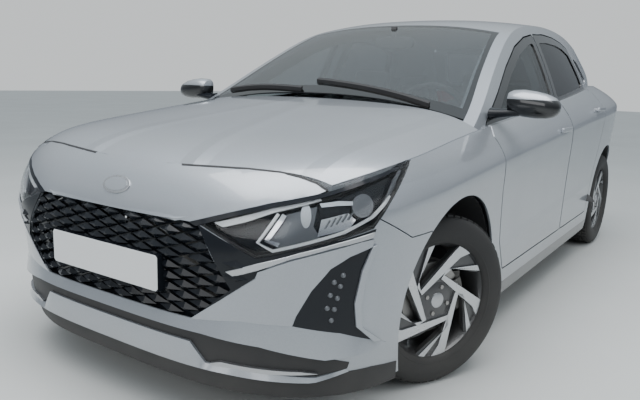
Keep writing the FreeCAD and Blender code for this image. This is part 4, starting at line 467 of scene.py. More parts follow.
dark_glass = clear("dark_rear_glass", (0.10, 0.11, 0.12, 1))
lamp_lens = clear("lamp_lens", (0.93, 0.95, 0.97, 1), index=1.22)
red_lens = clear("red_lens", (0.55, 0.02, 0.02, 1), roughness=0.06, transmission=0.55)
print("materials:", len(bpy.data.materials))

# %% [markdown]
# ## Finishes on the CAD nodes
# A CAD node keeps its shape and only changes its material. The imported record
# names a slot for each node, and most nodes take the finish of their slot. The
# doors, the mirrors and the sills take their own two part finish.

# %% Give every node its finish
SLOT_FINISH = {
    "paint": paint, "glass": dark_glass, "gloss_trim": gloss_black, "lens": lamp_lens,
    "red_lens": red_lens, "black_trim": matt_black, "tyre": rubber, "rim": dark_alloy,
    "iron": cast_iron, "steel": steel, "underbody": underseal, "cabin_trim": cabin_plastic,
    "cloth": cabin_plastic,
}
NODE_FINISH = {
    "door_front_left": door_paint, "door_front_right": door_paint,
    "door_rear_left": door_paint, "door_rear_right": door_paint,
    "mirror_left": mirror_paint, "mirror_right": mirror_paint,
    "body_sides": sill_paint, "fixed_glass": window_glass, "front_wings": wing_paint,
    "glass_front_left": window_glass, "glass_front_right": window_glass,
}


def finish(obj, made):
    """The object wears one material."""
    obj.data.materials.clear()
    obj.data.materials.append(made)
    return obj


for name, node in nodes.items():
    slot = node.data.materials[0].name.split(".")[0]
    finish(node, NODE_FINISH.get(name, SLOT_FINISH.get(slot, matt_black)))

ground, ground_tree, ground_shader = material("pale_floor", roughness=0.75)
ground_tree.links.new(
    mixed(ground_tree, noise(ground_tree, 0.8, detail=8.0), (0.50, 0.51, 0.50, 1), (0.62, 0.63, 0.62, 1)),
    ground_shader.inputs["Base Color"],
)
finish(floor, ground)
print("finished", len(nodes), "nodes")

# %% [markdown]
# ## Closed pieces and flat fillings
# Every piece that is added is a closed mesh with a material and a body that
# carries it. Trims start from a flat outline, which is filled with
# small triangles before it is laid on the curved panels.

# %% Helpers for pieces
SHARP_ANGLE = math.radians(35)
SAME_POINT = 0.00002


def surface_of(*names):
    """The skins of some nodes as one tree that rays can be sent at."""
    points, faces = [], []
    for name in names:
        mesh = nodes[name].data
        start = len(points)
        points += [vertex.co.copy() for vertex in mesh.vertices]
        faces += [[start + index for index in face.vertices] for face in mesh.polygons]
    return BVHTree.FromPolygons(points, faces)


def mesh_piece(name, points, faces, made, body, bevel=0.0):
    """A finished piece: a mesh with a material, riding on a body."""
    piece = finish(mesh_object(name, points, faces), made)
    work = bmesh.new()
    work.from_mesh(piece.data)
    bmesh.ops.remove_doubles(work, verts=work.verts, dist=SAME_POINT)
    bmesh.ops.recalc_face_normals(work, faces=work.faces)
    work.to_mesh(piece.data)
    work.free()
    if bevel:
        edge = piece.modifiers.new("edge", "BEVEL")
        edge.width = bevel
        edge.segments = 2
        edge.limit_method = "ANGLE"
    piece.data.polygons.foreach_set("use_smooth", [True] * len(piece.data.polygons))
    piece.data.set_sharp_from_angle(angle=SHARP_ANGLE)
    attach(piece, body)
    return piece


def filled(outline, step):
    """Points and triangles that fill a flat outline, with inner points at a step."""
    ring = []
    for first, second in zip(outline, outline[1:] + outline[:1]):
        span = math.dist(first, second)
        parts = max(1, round(span / step))
        for part in range(parts):
            x, y = (begin + (end - begin) * (part / parts) for begin, end in zip(first, second))
            ring.append(Vector((x, y)))
    low_x, high_x = min(p.x for p in ring), max(p.x for p in ring)
    low_y, high_y = min(p.y for p in ring), max(p.y for p in ring)
    inner = []
    for row in range(1, int((high_y - low_y) / step) + 1):
        for column in range(1, int((high_x - low_x) / step) + 1):
            spot = Vector((low_x + (column - 0.5 * (row % 2)) * step, low_y + row * step))
            if inside(spot, ring) and min((spot - p).length for p in ring) > step * 0.5:
                inner.append(spot)
    points, _, faces, _, _, _ = delaunay_2d_cdt(ring + inner, [], [list(range(len(ring)))], 1, 0.00001)
    return points, faces


def inside(spot, ring):
    """Whether a flat point is within a ring of points."""
    within = False
    for first, second in zip(ring, ring[1:] + ring[:1]):
        if (first.y > spot.y) != (second.y > spot.y):
            reach = (second.x - first.x) * (spot.y - first.y) / (second.y - first.y) + first.x
            if spot.x < reach:
                within = not within
    return within


# %% [markdown]
# ## Wheels
# Each wheel is a dark cast body with machined bright arms on its face. Five
# units share the circle. A unit starts from a point near the hub and parts in
# two arms: one bends at an elbow and one runs straight to a bright triangle at
# the rim. The pocket between them is open, and the space to the next unit is a
# shallow dark recess. The same casting is used on both sides, so the right
# wheels are turned round and not mirrored.

# %% Flat shapes of one wheel unit, in millimetres, forward and up
WHEEL_UNITS = (25, 99, 168, 234, 309)
MM = 0.001


def polar(radius, angle):
    """A flat point at a radius and an angle."""
    return Vector((radius * math.cos(math.radians(angle)), radius * math.sin(math.radians(angle))))


def arc(radius, first, last, parts=6):
    """Points along a circle from one angle to another."""
    return [polar(radius, first + (last - first) * part / parts) for part in range(parts + 1)]


BENT_ARM = [polar(80, -3), polar(117, 8), polar(216, 50)] + arc(216, 50, 58, 2)[1:] + [polar(124, 18), polar(94, 6)]
STRAIGHT_ARM = [polar(80, -3), polar(94, 6), polar(212, 89)] + arc(216, 90, 107, 4) + [polar(174, 97)]
POCKET_LOW = [polar(96, 7), polar(125, 19), polar(206, 59)]
POCKET_HIGH = [polar(206, 88), polar(96, 7)]


def lathe(name, profile, made, body, place, turned, flip, slot=None, parts=96):
    """A closed ring profile of (radius, outboard) points turned round the axle."""
    points, faces = [], []
    count = len(profile)
    for step in range(parts):
        angle = 2 * math.pi * step / parts
        for radius, outboard in profile:
            forward, upward = radius * math.cos(angle), radius * math.sin(angle)
            points.append(wheel_point(forward, upward, outboard, place, turned, flip))
    for step in range(parts):
        for index in range(count):
            here = step * count + index
            after = step * count + (index + 1) % count
            over = ((step + 1) % parts) * count + (index + 1) % count
            beside = ((step + 1) % parts) * count + index
            faces.append((here, after, over, beside))
    return mesh_piece(name, points, faces, made, body)


def wheel_point(forward, upward, outboard, place, turned, flip):
    """A point of a wheel, from its own flat coordinates to the car's frame."""
    way = -1 if flip else 1
    swing = math.radians(turned)
    x, y = forward * way * MM, outboard * way * MM
    return Vector((
        place[0] + x * math.cos(swing) - y * math.sin(swing),
        place[1] + x * math.sin(swing) + y * math.cos(swing),
        place[2] + upward * MM,
    ))


def plates(name, outlines, low, high, made, body, place, turned, flip, bevel=0.0015, slot=None):
    """Flat outlines given a thickness between two outboard levels."""
    points, faces = [], []
    for outline in outlines:
        start, count = len(points), len(outline)
        for level in (low, high):
            points += [wheel_point(spot.x, spot.y, level, place, turned, flip) for spot in outline]
        faces.append([start + index for index in range(count)])
        faces.append([start + count + index for index in range(count)])
        for index in range(count):
            after = (index + 1) % count
            faces.append((start + index, start + after, start + count + after, start + count + index))
    return mesh_piece(name, points, faces, made, body, bevel=bevel)


def turned_about(outline, angle):
    """An outline turned round the hub."""
    swing = Matrix.Rotation(math.radians(angle), 2)
    return [swing @ spot for spot in outline]


WHEELS = {
    "front_left": ((1.2176, 0.7614, 0.310), -26, False),
    "rear_left": ((-1.3975, 0.7715, 0.310), 0, False),
    "front_right": ((1.1474, -0.7614, 0.310), -26, True),
    "rear_right": ((-1.3975, -0.7715, 0.310), 0, True),
}
BARREL = [
    (216, 78), (219, 74), (214, 66), (206, 60), (200, 40), (196, -30), (205, -66), (217, -78),
    (214, -80), (200, -70), (190, -32), (193, 36), (198, 52), (204, 66), (211, 78),
]

LIP = [(217.5, 74), (217.5, 77), (215, 78.2), (211.5, 77), (211.5, 74)]
HUB_PAD = [(0.5, 69), (62, 69), (68, 66), (70, 60), (0.5, 60)]
HUB_CAP = [(0.5, 75), (20, 74.5), (27, 72.5), (29, 68), (0.5, 68)]

# %% Build the four wheels
def wheel(corner):
    """Barrel, cast face, bright arms, nuts and a bare hub cap of one wheel."""
    place, turned, flip = WHEELS[corner]
    body = f"{corner}_wheel"
    spot = dict(body=body, place=place, turned=turned, flip=flip)
    barrel = lathe(f"rim_barrel_{corner}", BARREL, dark_alloy, slot="rim", **spot)
    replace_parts(barrel, f"rim_{corner}")
    cast, bright = [], []
    for unit, angle in enumerate(WHEEL_UNITS):
        following = WHEEL_UNITS[(unit + 1) % 5] + (360 if unit == 4 else 0) - angle
        recess = (
            [POCKET_HIGH[1], POCKET_HIGH[0]] + arc(207, 88, following + 59, 8)
            + turned_about([POCKET_LOW[1], POCKET_LOW[0]], following)
        )
        cast.append(turned_about(recess, angle))
        bright.append(turned_about(BENT_ARM, angle))
        bright.append(turned_about(STRAIGHT_ARM, angle))
    hub = [turned_about([POCKET_LOW[0]], angle)[0] for angle in WHEEL_UNITS]
    plates(f"rim_recess_{corner}", cast + [hub], 46, 67, dark_alloy, slot="rim", **spot)
    plates(f"rim_arms_{corner}", bright, 64, 75.5, bright_alloy, bevel=0.0012, slot="rim", **spot)
    lathe(f"rim_lip_{corner}", LIP, bright_alloy, slot="rim", **spot)
    lathe(f"hub_pad_{corner}", HUB_PAD, dark_alloy, slot="rim", parts=48, **spot)
    lathe(f"hub_cap_{corner}", HUB_CAP, satin_metal, slot="rim", parts=48, **spot)
    middles = [polar(50, 20 + 90 * nut) for nut in range(4)]
    nuts = [[middle + polar(8.5, 60 * side) for side in range(6)] for middle in middles]
    plates(f"wheel_nuts_{corner}", nuts, 66, 74, steel, bevel=0.001, slot="rim", **spot)


for corner in WHEELS:
    wheel(corner)
print("four wheels")

# %% [markdown]
# ## A skin without holes
# The bumper has openings for the grille, the lamps and the day lamps, and the
# trims cross from one panel to the next. So the outer skin is measured once as
# a grid: rays go in from outside, hits on the wrong wall are dropped, and the
# missing cells are filled by the smoothest surface that joins the rest. Every
# trim is then a closed body whose underside lies on that skin and whose upper
# side stands up by the amounts that are written at a few spots.

# %% The skin grid
WALL_FACING = -0.25
MOST_ROUNDS = 4000
SETTLED = 1e-16


class Skin:
    """A smooth outer surface over (a, b), measured by rays at some nodes."""

    def __init__(self, names, ray, a_span, b_span, step, reach):
        self.ray, self.low, self.step = ray, (a_span[0], b_span[0]), step
        wide = int((a_span[1] - a_span[0]) / step) + 1
        tall = int((b_span[1] - b_span[0]) / step) + 1
        tree = surface_of(*names)
        depth = np.full((wide, tall), np.nan)
        for a in range(wide):
            for b in range(tall):
                start, way = ray((self.low[0] + a * step, self.low[1] + b * step))
                hit, normal, _, far = tree.ray_cast(start, way, reach)
                if hit is not None and normal.dot(way) < WALL_FACING:
                    depth[a, b] = far
        self.depth = fill_smooth(depth)
        print("skin", wide, "by", tall, "cells,", int(np.isnan(depth).sum()), "filled")

    def reach(self, spot):
        """The ray length at a flat spot, between the cells."""
        a = min(max((spot[0] - self.low[0]) / self.step, 0), self.depth.shape[0] - 1.001)
        b = min(max((spot[1] - self.low[1]) / self.step, 0), self.depth.shape[1] - 1.001)
        i, j = int(a), int(b)
        u, v = a - i, b - j
        cell = self.depth[i:i + 2, j:j + 2]
        return float((1 - u) * ((1 - v) * cell[0, 0] + v * cell[0, 1]) + u * ((1 - v) * cell[1, 0] + v * cell[1, 1]))

    def place(self, spot, lift=0.0):
        """The point of the skin at a flat spot, lifted outwards."""
        here = self.bare(spot)
        hair = self.step
        across = self.bare((spot[0] + hair, spot[1])) - self.bare((spot[0] - hair, spot[1]))
        along = self.bare((spot[0], spot[1] + hair)) - self.bare((spot[0], spot[1] - hair))
        normal = across.cross(along).normalized()
        if normal.dot(self.ray(spot)[1]) > 0:
            normal = -normal
        return here + normal * lift, normal

    def bare(self, spot):
        """The point of the skin at a flat spot."""
        start, way = self.ray(spot)
        return start + way * self.reach(spot)


def bending(sheet):
    """How much a sheet bends along its rows and columns, spread back on its cells."""
    pull = np.zeros_like(sheet)
    for axis in (0, 1):
        grid = np.moveaxis(sheet, axis, 0)
        out = np.moveaxis(pull, axis, 0)
        curve = grid[:-2] - 2 * grid[1:-1] + grid[2:]
        out[:-2] += curve
        out[1:-1] -= 2 * curve
        out[2:] += curve
    return pull


def fill_smooth(depth):
    """Missing cells filled so that the sheet bends as little as it can."""
    gaps = np.isnan(depth)
    sheet = np.where(gaps, np.nanmean(depth), depth)
    rest = -bending(sheet) * gaps
    way = rest.copy()
    for _ in range(MOST_ROUNDS):
        pushed = bending(way) * gaps
        size = float((rest * rest).sum())
        if size < SETTLED:
            break
        share = size / float((way * pushed).sum())
        sheet += share * way
        rest = rest - share * pushed
        way = rest + float((rest * rest).sum()) / size * way
    return sheet


AXLE_X = 1.15
FAR_OUT = 1.4
NOSE_LOW, NOSE_HIGH = 0.13, 0.86


def nose_ray(spot):
    """Round the nose: spot is (angle about an upright axis, height)."""
    out = Vector((math.cos(spot[0]), math.sin(spot[0]), 0))
    return Vector((AXLE_X, 0, spot[1])) + out * FAR_OUT, -out


# %% Measure the skin round the nose
nose = Skin(
    ["front_bumper", "headlamps", "bonnet", "front_wings"],
    nose_ray, (-1.36, 1.36), (NOSE_LOW, NOSE_HIGH), 0.02, 0.98,
)


SIGHT_START, SIGHT_STEPS, SIGHT_SHARE = 0.8, 60, 0.6
LEAST_HEIGHT = 0.004
FADE_ANGLE = 0.12


def unrolled(pixel, lift=0.0):
    """The flat spot (angle, height) that the camera sees at a pixel, on the nose skin or above it."""
    way = sight(pixel)
    far = SIGHT_START
    for _ in range(SIGHT_STEPS):
        point = eye + way * far
        angle = math.atan2(point.y, point.x - AXLE_X)
        height = min(max(point.z, NOSE_LOW), NOSE_HIGH)
        gap = math.hypot(point.x - AXLE_X, point.y) - (FAR_OUT - nose.reach((angle, height))) - lift
        far += gap * SIGHT_SHARE
    return angle, point.z


def near_hills(spot, hills):
    """The height at a spot, from the hills round it; the nearest count most."""
    weights = [1 / (math.dist(spot, hill[:2]) ** 2 + 1e-6) for hill in hills]
    return sum(weight * hill[2] for weight, hill in zip(weights, hills)) / sum(weights)


def between(top, low, top_lift, low_lift, end_lift=0.002):
    """A height that runs evenly from a top edge to a low edge and fades at the far end."""
    top, low = sorted(top), sorted(low)
    last = min(top[-1][0], low[-1][0])

    def lift(spot):
        angle = abs(spot[0])
        high = float(np.interp(angle, [p[0] for p in top], [p[1] for p in top]))
        deep = float(np.interp(angle, [p[0] for p in low], [p[1] for p in low]))
        share = min(max((high - spot[1]) / max(high - deep, LEAST_HEIGHT), 0), 1)
        fade = min(max((last - angle) / FADE_ANGLE, 0), 1)
        return end_lift + (top_lift + (low_lift - top_lift) * share - end_lift) * fade
    return lift


def raised(name, outline, skin, hills, made, body, step=0.02, sink=0.0015, mirror=False, bevel=0.0):
    """A closed body on a skin: its outline is flat, and its height follows the hills."""
    flat, faces = filled([Vector(spot) for spot in outline], step)
    lower, upper = [], []
    for spot in flat:
        lift = hills(spot) if callable(hills) else near_hills(spot, hills)
        lower.append(skin.place(spot, -sink)[0])
        upper.append(skin.place(spot, lift)[0])
    uses = {}
    for face in faces:
        for first, second in zip(face, list(face[1:]) + [face[0]]):
            key = (min(first, second), max(first, second))
            uses.setdefault(key, []).append((first, second))
    rim = [pairs[0] for pairs in uses.values() if len(pairs) == 1]
    count = len(flat)
    shell = [list(face) for face in faces]
    shell += [[index + count for index in reversed(face)] for face in faces]
    shell += [[second, first, first + count, second + count] for first, second in rim]
    made_pieces = []
    for side, mark in ((1, "left"), (-1, "right")) if mirror else ((1, ""),):
        points = [Vector((p.x, p.y * side, p.z)) for p in upper + lower]
        title = f"{name}_{mark}" if mark else name
        carrier = body if isinstance(body, str) else body[side < 0]
        made_pieces.append(mesh_piece(title, points, shell, made, carrier, bevel=bevel))
    print(name, len(shell), "faces")
    return made_pieces


def both_halves(left):
    """A left outline from the centre line out and back to it, closed by its mirror image."""
    return list(left) + [(-spot[0], spot[1]) for spot in reversed(left) if abs(spot[0]) > 0.0001]


def seen(*pixels):
    """Flat spots of the nose for pixels of the photograph."""
    return [unrolled(pixel) for pixel in pixels]


def even(outline, lift):
    """Hills that give one height all over."""
    return [(outline[0][0], outline[0][1], lift)]


def lifted(pairs):
    """Hills from (pixel, height in millimetres) pairs, with their mirror images."""
    hills = []
    for pixel, height in pairs:
        angle, z = unrolled(pixel)
        hills += [(angle, z, height * MM), (-angle, z, height * MM)]
    return hills


def nose_trim(name, pixels, lift, made, bevel=0.0):
    """A trim of one height on both sides of the nose, with an outline in pixels."""
    outline = seen(*pixels)
    raised(name, outline, nose, even(outline, lift), made, "body", mirror=True, bevel=bevel)


def centre_trim(name, half, hills, made):
    """A trim across the nose, from its left half."""
    raised(name, both_halves(half), nose, hills, made, "body")


def on_centre(spot):
    """The spot on the centre line at a spot's height."""
    return 0.0, spot[1]


# %% [markdown]
# ## The face of the car
# The painted nose reaches the lamp tops. The black grille spreads under the
# lamps and ends in a point at the cheek, with a satin blade above the paint.
# Below it a bright ledge stands out and runs to the corners, and a silver lip
# closes the black lower intake. These outlines follow the photograph.

# %% Painted nose, black strips painted as shade in the bonnet gap and along the lamp tops, the black gusset under the lamps and the satin blade
nose_top = seen(
    (328, 190.5), (317, 183), (300, 176.3), (281, 172), (250, 168.6), (220, 166.6), (200, 165.4),
    (182, 164.2), (168, 163.4),
)
nose_low = seen((190, 221.5), (230, 212.5), (270, 203.5), (318, 194.5))
centre_top = (0.0, 0.803)
grille_top = (0.0, unrolled((190, 221.5))[1] + 0.002)
nose_outline = [centre_top] + nose_top[::-1] + nose_low[::-1] + [grille_top]
centre_trim("painted_nose", nose_outline, even(nose_outline, 0.002), paint)
# A matt black strip along the bonnet's edge is painted shade of the gap between the bonnet and the nose.
nose_trim("bonnet_cut_line", (
    (182, 164.0), (200, 165.2), (220, 166.4), (250, 168.4), (281, 171.8), (300, 176.1), (317, 182.8), (328, 190.3),
    (327, 192), (316, 184.6), (299, 177.9), (281, 173.5), (250, 170.1), (220, 168.1), (200, 166.9), (182, 165.7),
), 0.0026, matt_black)
# A gloss black strip along the top edge of each lamp is painted shade of the gap between the lamp and the nose.
nose_trim("lamp_brow", (
    (189, 222), (230, 213), (270, 204), (322, 194.5), (365, 180), (406, 160.5), (404, 165), (366, 184), (323, 198),
    (272, 208), (233, 217), (196, 226),
), 0.0032, gloss_black)
nose_trim("lamp_gusset", (
    (190, 320), (231, 289.5), (198, 224.5), (205, 229), (230, 244), (256, 258.5), (300, 250),
    (340, 240.5), (376, 229),
    (373, 237), (330, 248), (285, 259), (258, 272), (255, 278),
), 0.003, gloss_black)
nose_trim("satin_blade", (
    (226, 271), (256, 263.5), (300, 252.5), (340, 242), (374, 231.5), (372, 237.5), (330, 248.5),
    (290, 259), (258, 270),
    (234, 276),
), 0.008, satin_metal, bevel=0.0015)

# %% Painted cheek with its ridge, and the black day lamp horn
cheek = seen(
    (258, 271.5), (290, 260.5), (330, 250), (360, 241.5), (373, 238.5), (371, 246), (349, 256),
    (330, 268.5), (311, 291),
    (296, 316), (292, 326), (240, 321), (191, 318), (222, 299), (256, 278),
)
cheek_hills = lifted([
    ((258, 272), 9), ((290, 261), 12), ((330, 251), 12), ((370, 240), 10), ((275, 285), 5),
    ((300, 275), 4), ((330, 265), 6),
    ((222, 299), 5), ((250, 300), 2.5), ((280, 305), 2.5), ((310, 290), 4), ((296, 318), 3),
    ((191, 318), 4), ((240, 321), 3),
])
raised("painted_cheek", cheek, nose, cheek_hills, paint, "body", mirror=True)
nose_trim("day_lamp_horn", (
    (371.5, 246), (349, 256), (330, 268.5), (311, 291), (296, 316), (292.5, 326), (330, 332),
    (372, 340.5), (355, 326),
    (353.5, 303), (361, 270),
), 0.0025, gloss_black)
nose_trim("horn_edge", (
    (371.5, 246), (376, 244), (367, 271), (360, 303), (361, 326), (380, 339), (372, 340.5), (355, 326), (353.5, 303),
    (361, 270),
), 0.010, paint, bevel=0.002)

# %% Ledge, black intake band, silver lip and the matt black sheet painted as shadow under the bumper
ledge_top = seen((191, 317.5), (240, 321), (292, 326), (340, 333), (386, 341.5))
ledge_low = [
    unrolled(pixel, lift)
    for pixel, lift in (((386, 343), 0.002), ((325, 360), 0.016), ((260, 347), 0.018), ((202, 333.5), 0.018))
]
top_edge = [on_centre(ledge_top[0])] + ledge_top
low_edge = ledge_low + [on_centre(ledge_low[-1])]
centre_trim("painted_ledge", top_edge + low_edge, between(top_edge, low_edge, 0.003, 0.018), paint)

lip_top = [unrolled(pixel, 0.010) for pixel in ((190, 341), (206, 362.5), (240, 368), (316, 377.5), (348, 369.5))]
lip_low = [
    unrolled(pixel, lift)
    for pixel, lift in (((349, 372), 0.006), ((316, 381.5), 0.018), ((227, 373), 0.022), ((197, 366), 0.022))
]
band = [on_centre(ledge_low[-1])] + ledge_low[:0:-1] + seen((349, 362)) + lip_top[::-1] + [on_centre(lip_top[0])]
centre_trim("lower_intake_band", band, even(band, 0.0022), matt_black)
lip_edge = [on_centre(lip_top[0])] + lip_top
lip_foot = lip_low + [on_centre(lip_low[-1])]
centre_trim("silver_lip", lip_edge + lip_foot, between(lip_edge, lip_foot, 0.010, 0.022), paint)
# Below the silver lip, out to the corners, the bumper is covered with matt black: painted shadow of the ground under
# the bumper.
corner_foot = seen((372, 366), (396, 360.5))
under = lip_foot[::-1] + corner_foot + [(corner_foot[-1][0] + 0.01, 0.135), (0.0, 0.135)]
centre_trim("lip_underside", under, even(under, 0.002), matt_black)
nose_trim(
    "intake_fin", ((212, 361), (222, 360), (300, 370), (318, 372), (300, 373), (216, 365)), 0.012, satin_metal,
)
print("face trims done")

# %% [markdown]
# ## Lamp insides
# Behind the clear lens sit a dark bezel, a bright light guide bent like an L, a
# reflector bowl, a bar, a row of ribs and a round projector. They are closed
# bodies made like the trims, only that they lie some way behind the skin.

# %% Helpers for outlines in the photograph
def ribbon(points, width):
    """An outline in pixels along a line of points, with a width in pixels."""
    places = [Vector(point) for point in points]
    left_edge, right_edge = [], []
    for index, place in enumerate(places):
        before = places[max(index - 1, 0)]
        after = places[min(index + 1, len(places) - 1)]
        way = (after - before).normalized()
        square = Vector((-way.y, way.x)) * width / 2
        left_edge.append(place + square)
        right_edge.append(place - square)
    return left_edge + right_edge[::-1]


def oval(middle, wide, tall, parts=20):
    """An oval outline in pixels, or in any flat measure."""
    turns = [2 * math.pi * part / parts for part in range(parts)]
    return [(middle[0] + wide * math.cos(turn), middle[1] + tall * math.sin(turn)) for turn in turns]


def in_lamp(name, pixels, front_mm, back_mm, made, step, bevel):
    """A closed body inside the lamps, between two depths behind the lens."""
    outline = seen(*pixels)
    raised(
        name, outline, nose, even(outline, -front_mm * MM), made, "body",
        step=step, sink=back_mm * MM, mirror=True, bevel=bevel,
    )


chrome = plastic(
    "bright_reflector", (0.80, 0.81, 0.83, 1), shine=0.16, contrast=0.04, bump=0.02, metallic=1.0, dirt=0.0,
)
guide_white = plastic(
    "white_light_guide", (0.72, 0.74, 0.76, 1), shine=0.25, contrast=0.05, bump=0.02, dirt=0.0, coat=0.6,
)
bezel_grey = plastic(
    "lamp_bezel_grey", (0.13, 0.14, 0.155, 1), shine=0.35, contrast=0.08, bump=0.08, dirt=0.0, metallic=0.4,
)

# %% Bezel, light guide, bowl, bar, ribs and projector
# Each row is a name, the depths of front and back in millimetres, a finish, the
# step of the filling and the outline in pixels.
BROAD, FINE = 0.02, 0.012
lamp_insides = [
    ("lamp_bezel", 34, 38, gloss_black, BROAD, [
        (200, 225), (256, 256), (375, 228), (381, 217), (404, 164), (366, 184), (323, 199), (272, 209), (233, 219)]),
    ("lamp_wedge", 5, 10, guide_white, BROAD, [
        (213, 222.5), (232, 218.5), (270, 208.5), (320, 197.5), (322, 200), (274, 212), (244, 222), (222, 227)]),
    ("light_guide", 7, 14, guide_white, FINE, ribbon(
        [(278, 213), (256.5, 243), (272, 252), (345, 233), (374, 217), (392, 196)], 3.0)),
    ("guide_inner", 12, 18, chrome, FINE, ribbon([(284, 214), (266, 240), (278, 246)], 5.0)),
    ("reflector_bowl", 22, 28, bezel_grey, BROAD, [
        (284, 213), (318, 204), (314, 226), (322, 240), (278, 250), (262, 242)]),
    ("reflector_fin", 13, 20, chrome, FINE, oval((306, 215), 5.5, 13)),
    ("bulb_hood", 20, 26, gloss_black, BROAD, [(319, 204), (353, 201), (352, 211), (322, 217)]),
    ("bright_bar", 10, 16, chrome, FINE, [
        (320, 202.5), (340, 200), (354, 200.5), (354, 204.5), (338, 205), (322, 206.5)]),
    ("lower_bowl", 16, 22, chrome, BROAD, [(322, 219), (350, 212), (358, 220), (352, 229), (318, 238)]),
]
for rib in range(5):
    low_end = (326 + 6 * rib, 229 - 2.4 * rib)
    high_end = (low_end[0] + 5, low_end[1] - 9)
    lamp_insides.append((f"lamp_rib_{rib}", 10, 17, bezel_grey, FINE, ribbon([low_end, high_end], 1.6)))
lamp_insides.append(("projector_ring", 12, 24, bezel_grey, FINE, oval((364.5, 205), 11, 12.5)))
lamp_insides.append(("projector_eye", 6, 12.5, lamp_lens, FINE, oval((364, 205), 8, 9.5)))
lamp_insides.append(("rear_bezel_step", 16, 22, bezel_grey, FINE, ribbon([(382, 214), (398, 178), (402, 166)], 4)))
for name, front_mm, back_mm, made, step, pixels in lamp_insides:
    in_lamp(name, pixels, front_mm, back_mm, made, step, bevel=0.003 if name == "projector_eye" else 0.0)

# %% [markdown]
# ## One stud on every point
# Scales of the grille, blocks of the tyres, lamp chips and headrest posts repeat
# one small shape. A Geometry Nodes tree puts a stud with a few corners on each
# point of a mesh, stands it up along the point's own direction and joins the
# copies. The sizes are named inputs, so one tree serves every pattern.

# %% Build the stud tree
def stud_tree():
    """A tree that puts one tapered stud on each point of a mesh."""
    tree = bpy.data.node_groups.new("studs_on_points", "GeometryNodeTree")
    tree.interface.new_socket(name="Geometry", in_out="INPUT", socket_type="NodeSocketGeometry")
    for label, kind, value in (
        ("Width", "NodeSocketFloat", 0.01), ("Length", "NodeSocketFloat", 0.01), ("Height", "NodeSocketFloat", 0.005),
        ("Corners", "NodeSocketInt", 4), ("Top Share", "NodeSocketFloat", 0.8), ("Twist", "NodeSocketFloat", 0.0),
    ):
        socket = tree.interface.new_socket(name=label, in_out="INPUT", socket_type=kind)
        socket.default_value = value
    tree.interface.new_socket(name="Finish", in_out="INPUT", socket_type="NodeSocketMaterial")
    tree.interface.new_socket(name="Geometry", in_out="OUTPUT", socket_type="NodeSocketGeometry")
    given, end = tree.nodes.new("NodeGroupInput").outputs, tree.nodes.new("NodeGroupOutput")

    def wired(kind, sources, **settings):
        """A new node with links into its named inputs; returns its first output."""
        node = add(tree, kind, **settings)
        for label, source in sources.items():
            tree.links.new(source, node.inputs[label])
        return node.outputs[0]

    def stored(label):
        """A direction that is stored on each point."""
        node = add(tree, "GeometryNodeInputNamedAttribute", data_type="FLOAT_VECTOR")
        node.inputs["Name"].default_value = label
        return node.outputs["Attribute"]

    cone = wired(
        "GeometryNodeMeshCone", {"Vertices": given["Corners"], "Radius Top": given["Top Share"]}, fill_type="NGON",
    )
    for label in ("Radius Bottom", "Depth"):
        cone.node.inputs[label].default_value = 1.0
    spin = wired("ShaderNodeCombineXYZ", {"Z": given["Twist"]})
    turned_cone = wired("GeometryNodeTransform", {"Geometry": cone, "Rotation": spin})
    size = wired("ShaderNodeCombineXYZ", {"X": given["Width"], "Y": given["Length"], "Z": given["Height"]})
    sized = wired("GeometryNodeTransform", {"Geometry": turned_cone, "Scale": size})
    points = wired("GeometryNodeMeshToPoints", {"Mesh": given["Geometry"]})
    stand = wired(
        "FunctionNodeAxesToRotation", {"Primary Axis": stored("out"), "Secondary Axis": stored("along")},
        primary_axis="Z", secondary_axis="X",
    )
    copies = wired("GeometryNodeInstanceOnPoints", {"Points": points, "Instance": sized, "Rotation": stand})
    real = wired("GeometryNodeRealizeInstances", {"Geometry": copies})
    worn = wired("GeometryNodeSetMaterial", {"Geometry": real, "Material": given["Finish"]})
    tree.links.new(worn, end.inputs["Geometry"])
    return tree


STUDS = stud_tree()
STUD_SHARP = math.radians(40)


def studs(name, spots, made, body, slot=None, smooth=False, **sizes):
    """Studs on (place, out, along) spots, as one plain mesh that rides on a body."""
    seeds = mesh_object(f"{name}_seeds", [spot[0] for spot in spots], [])
    for label, column in (("out", 1), ("along", 2)):
        values = seeds.data.attributes.new(label, "FLOAT_VECTOR", "POINT")
        values.data.foreach_set("vector", [part for spot in spots for part in spot[column]])
    modifier = seeds.modifiers.new("studs", "NODES")
    modifier.node_group = STUDS
    sockets = {item.name: item.identifier for item in STUDS.interface.items_tree if item.in_out == "INPUT"}
    for label, value in sizes.items():
        modifier[sockets[label.replace("_", " ")]] = value
    modifier[sockets["Finish"]] = made
    evaluated = seeds.evaluated_get(bpy.context.evaluated_depsgraph_get())
    mesh = bpy.data.meshes.new_from_object(evaluated)
    mesh.name = name
    bpy.data.objects.remove(seeds)
    piece = bpy.data.objects.new(name, mesh)
    scene.collection.objects.link(piece)
    finish(piece, made)
    if smooth:
        mesh.polygons.foreach_set("use_smooth", [True] * len(mesh.polygons))
        mesh.set_sharp_from_angle(angle=STUD_SHARP)
    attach(piece, body)
    print(name, len(spots), "studs,", len(mesh.polygons), "faces")
    return piece


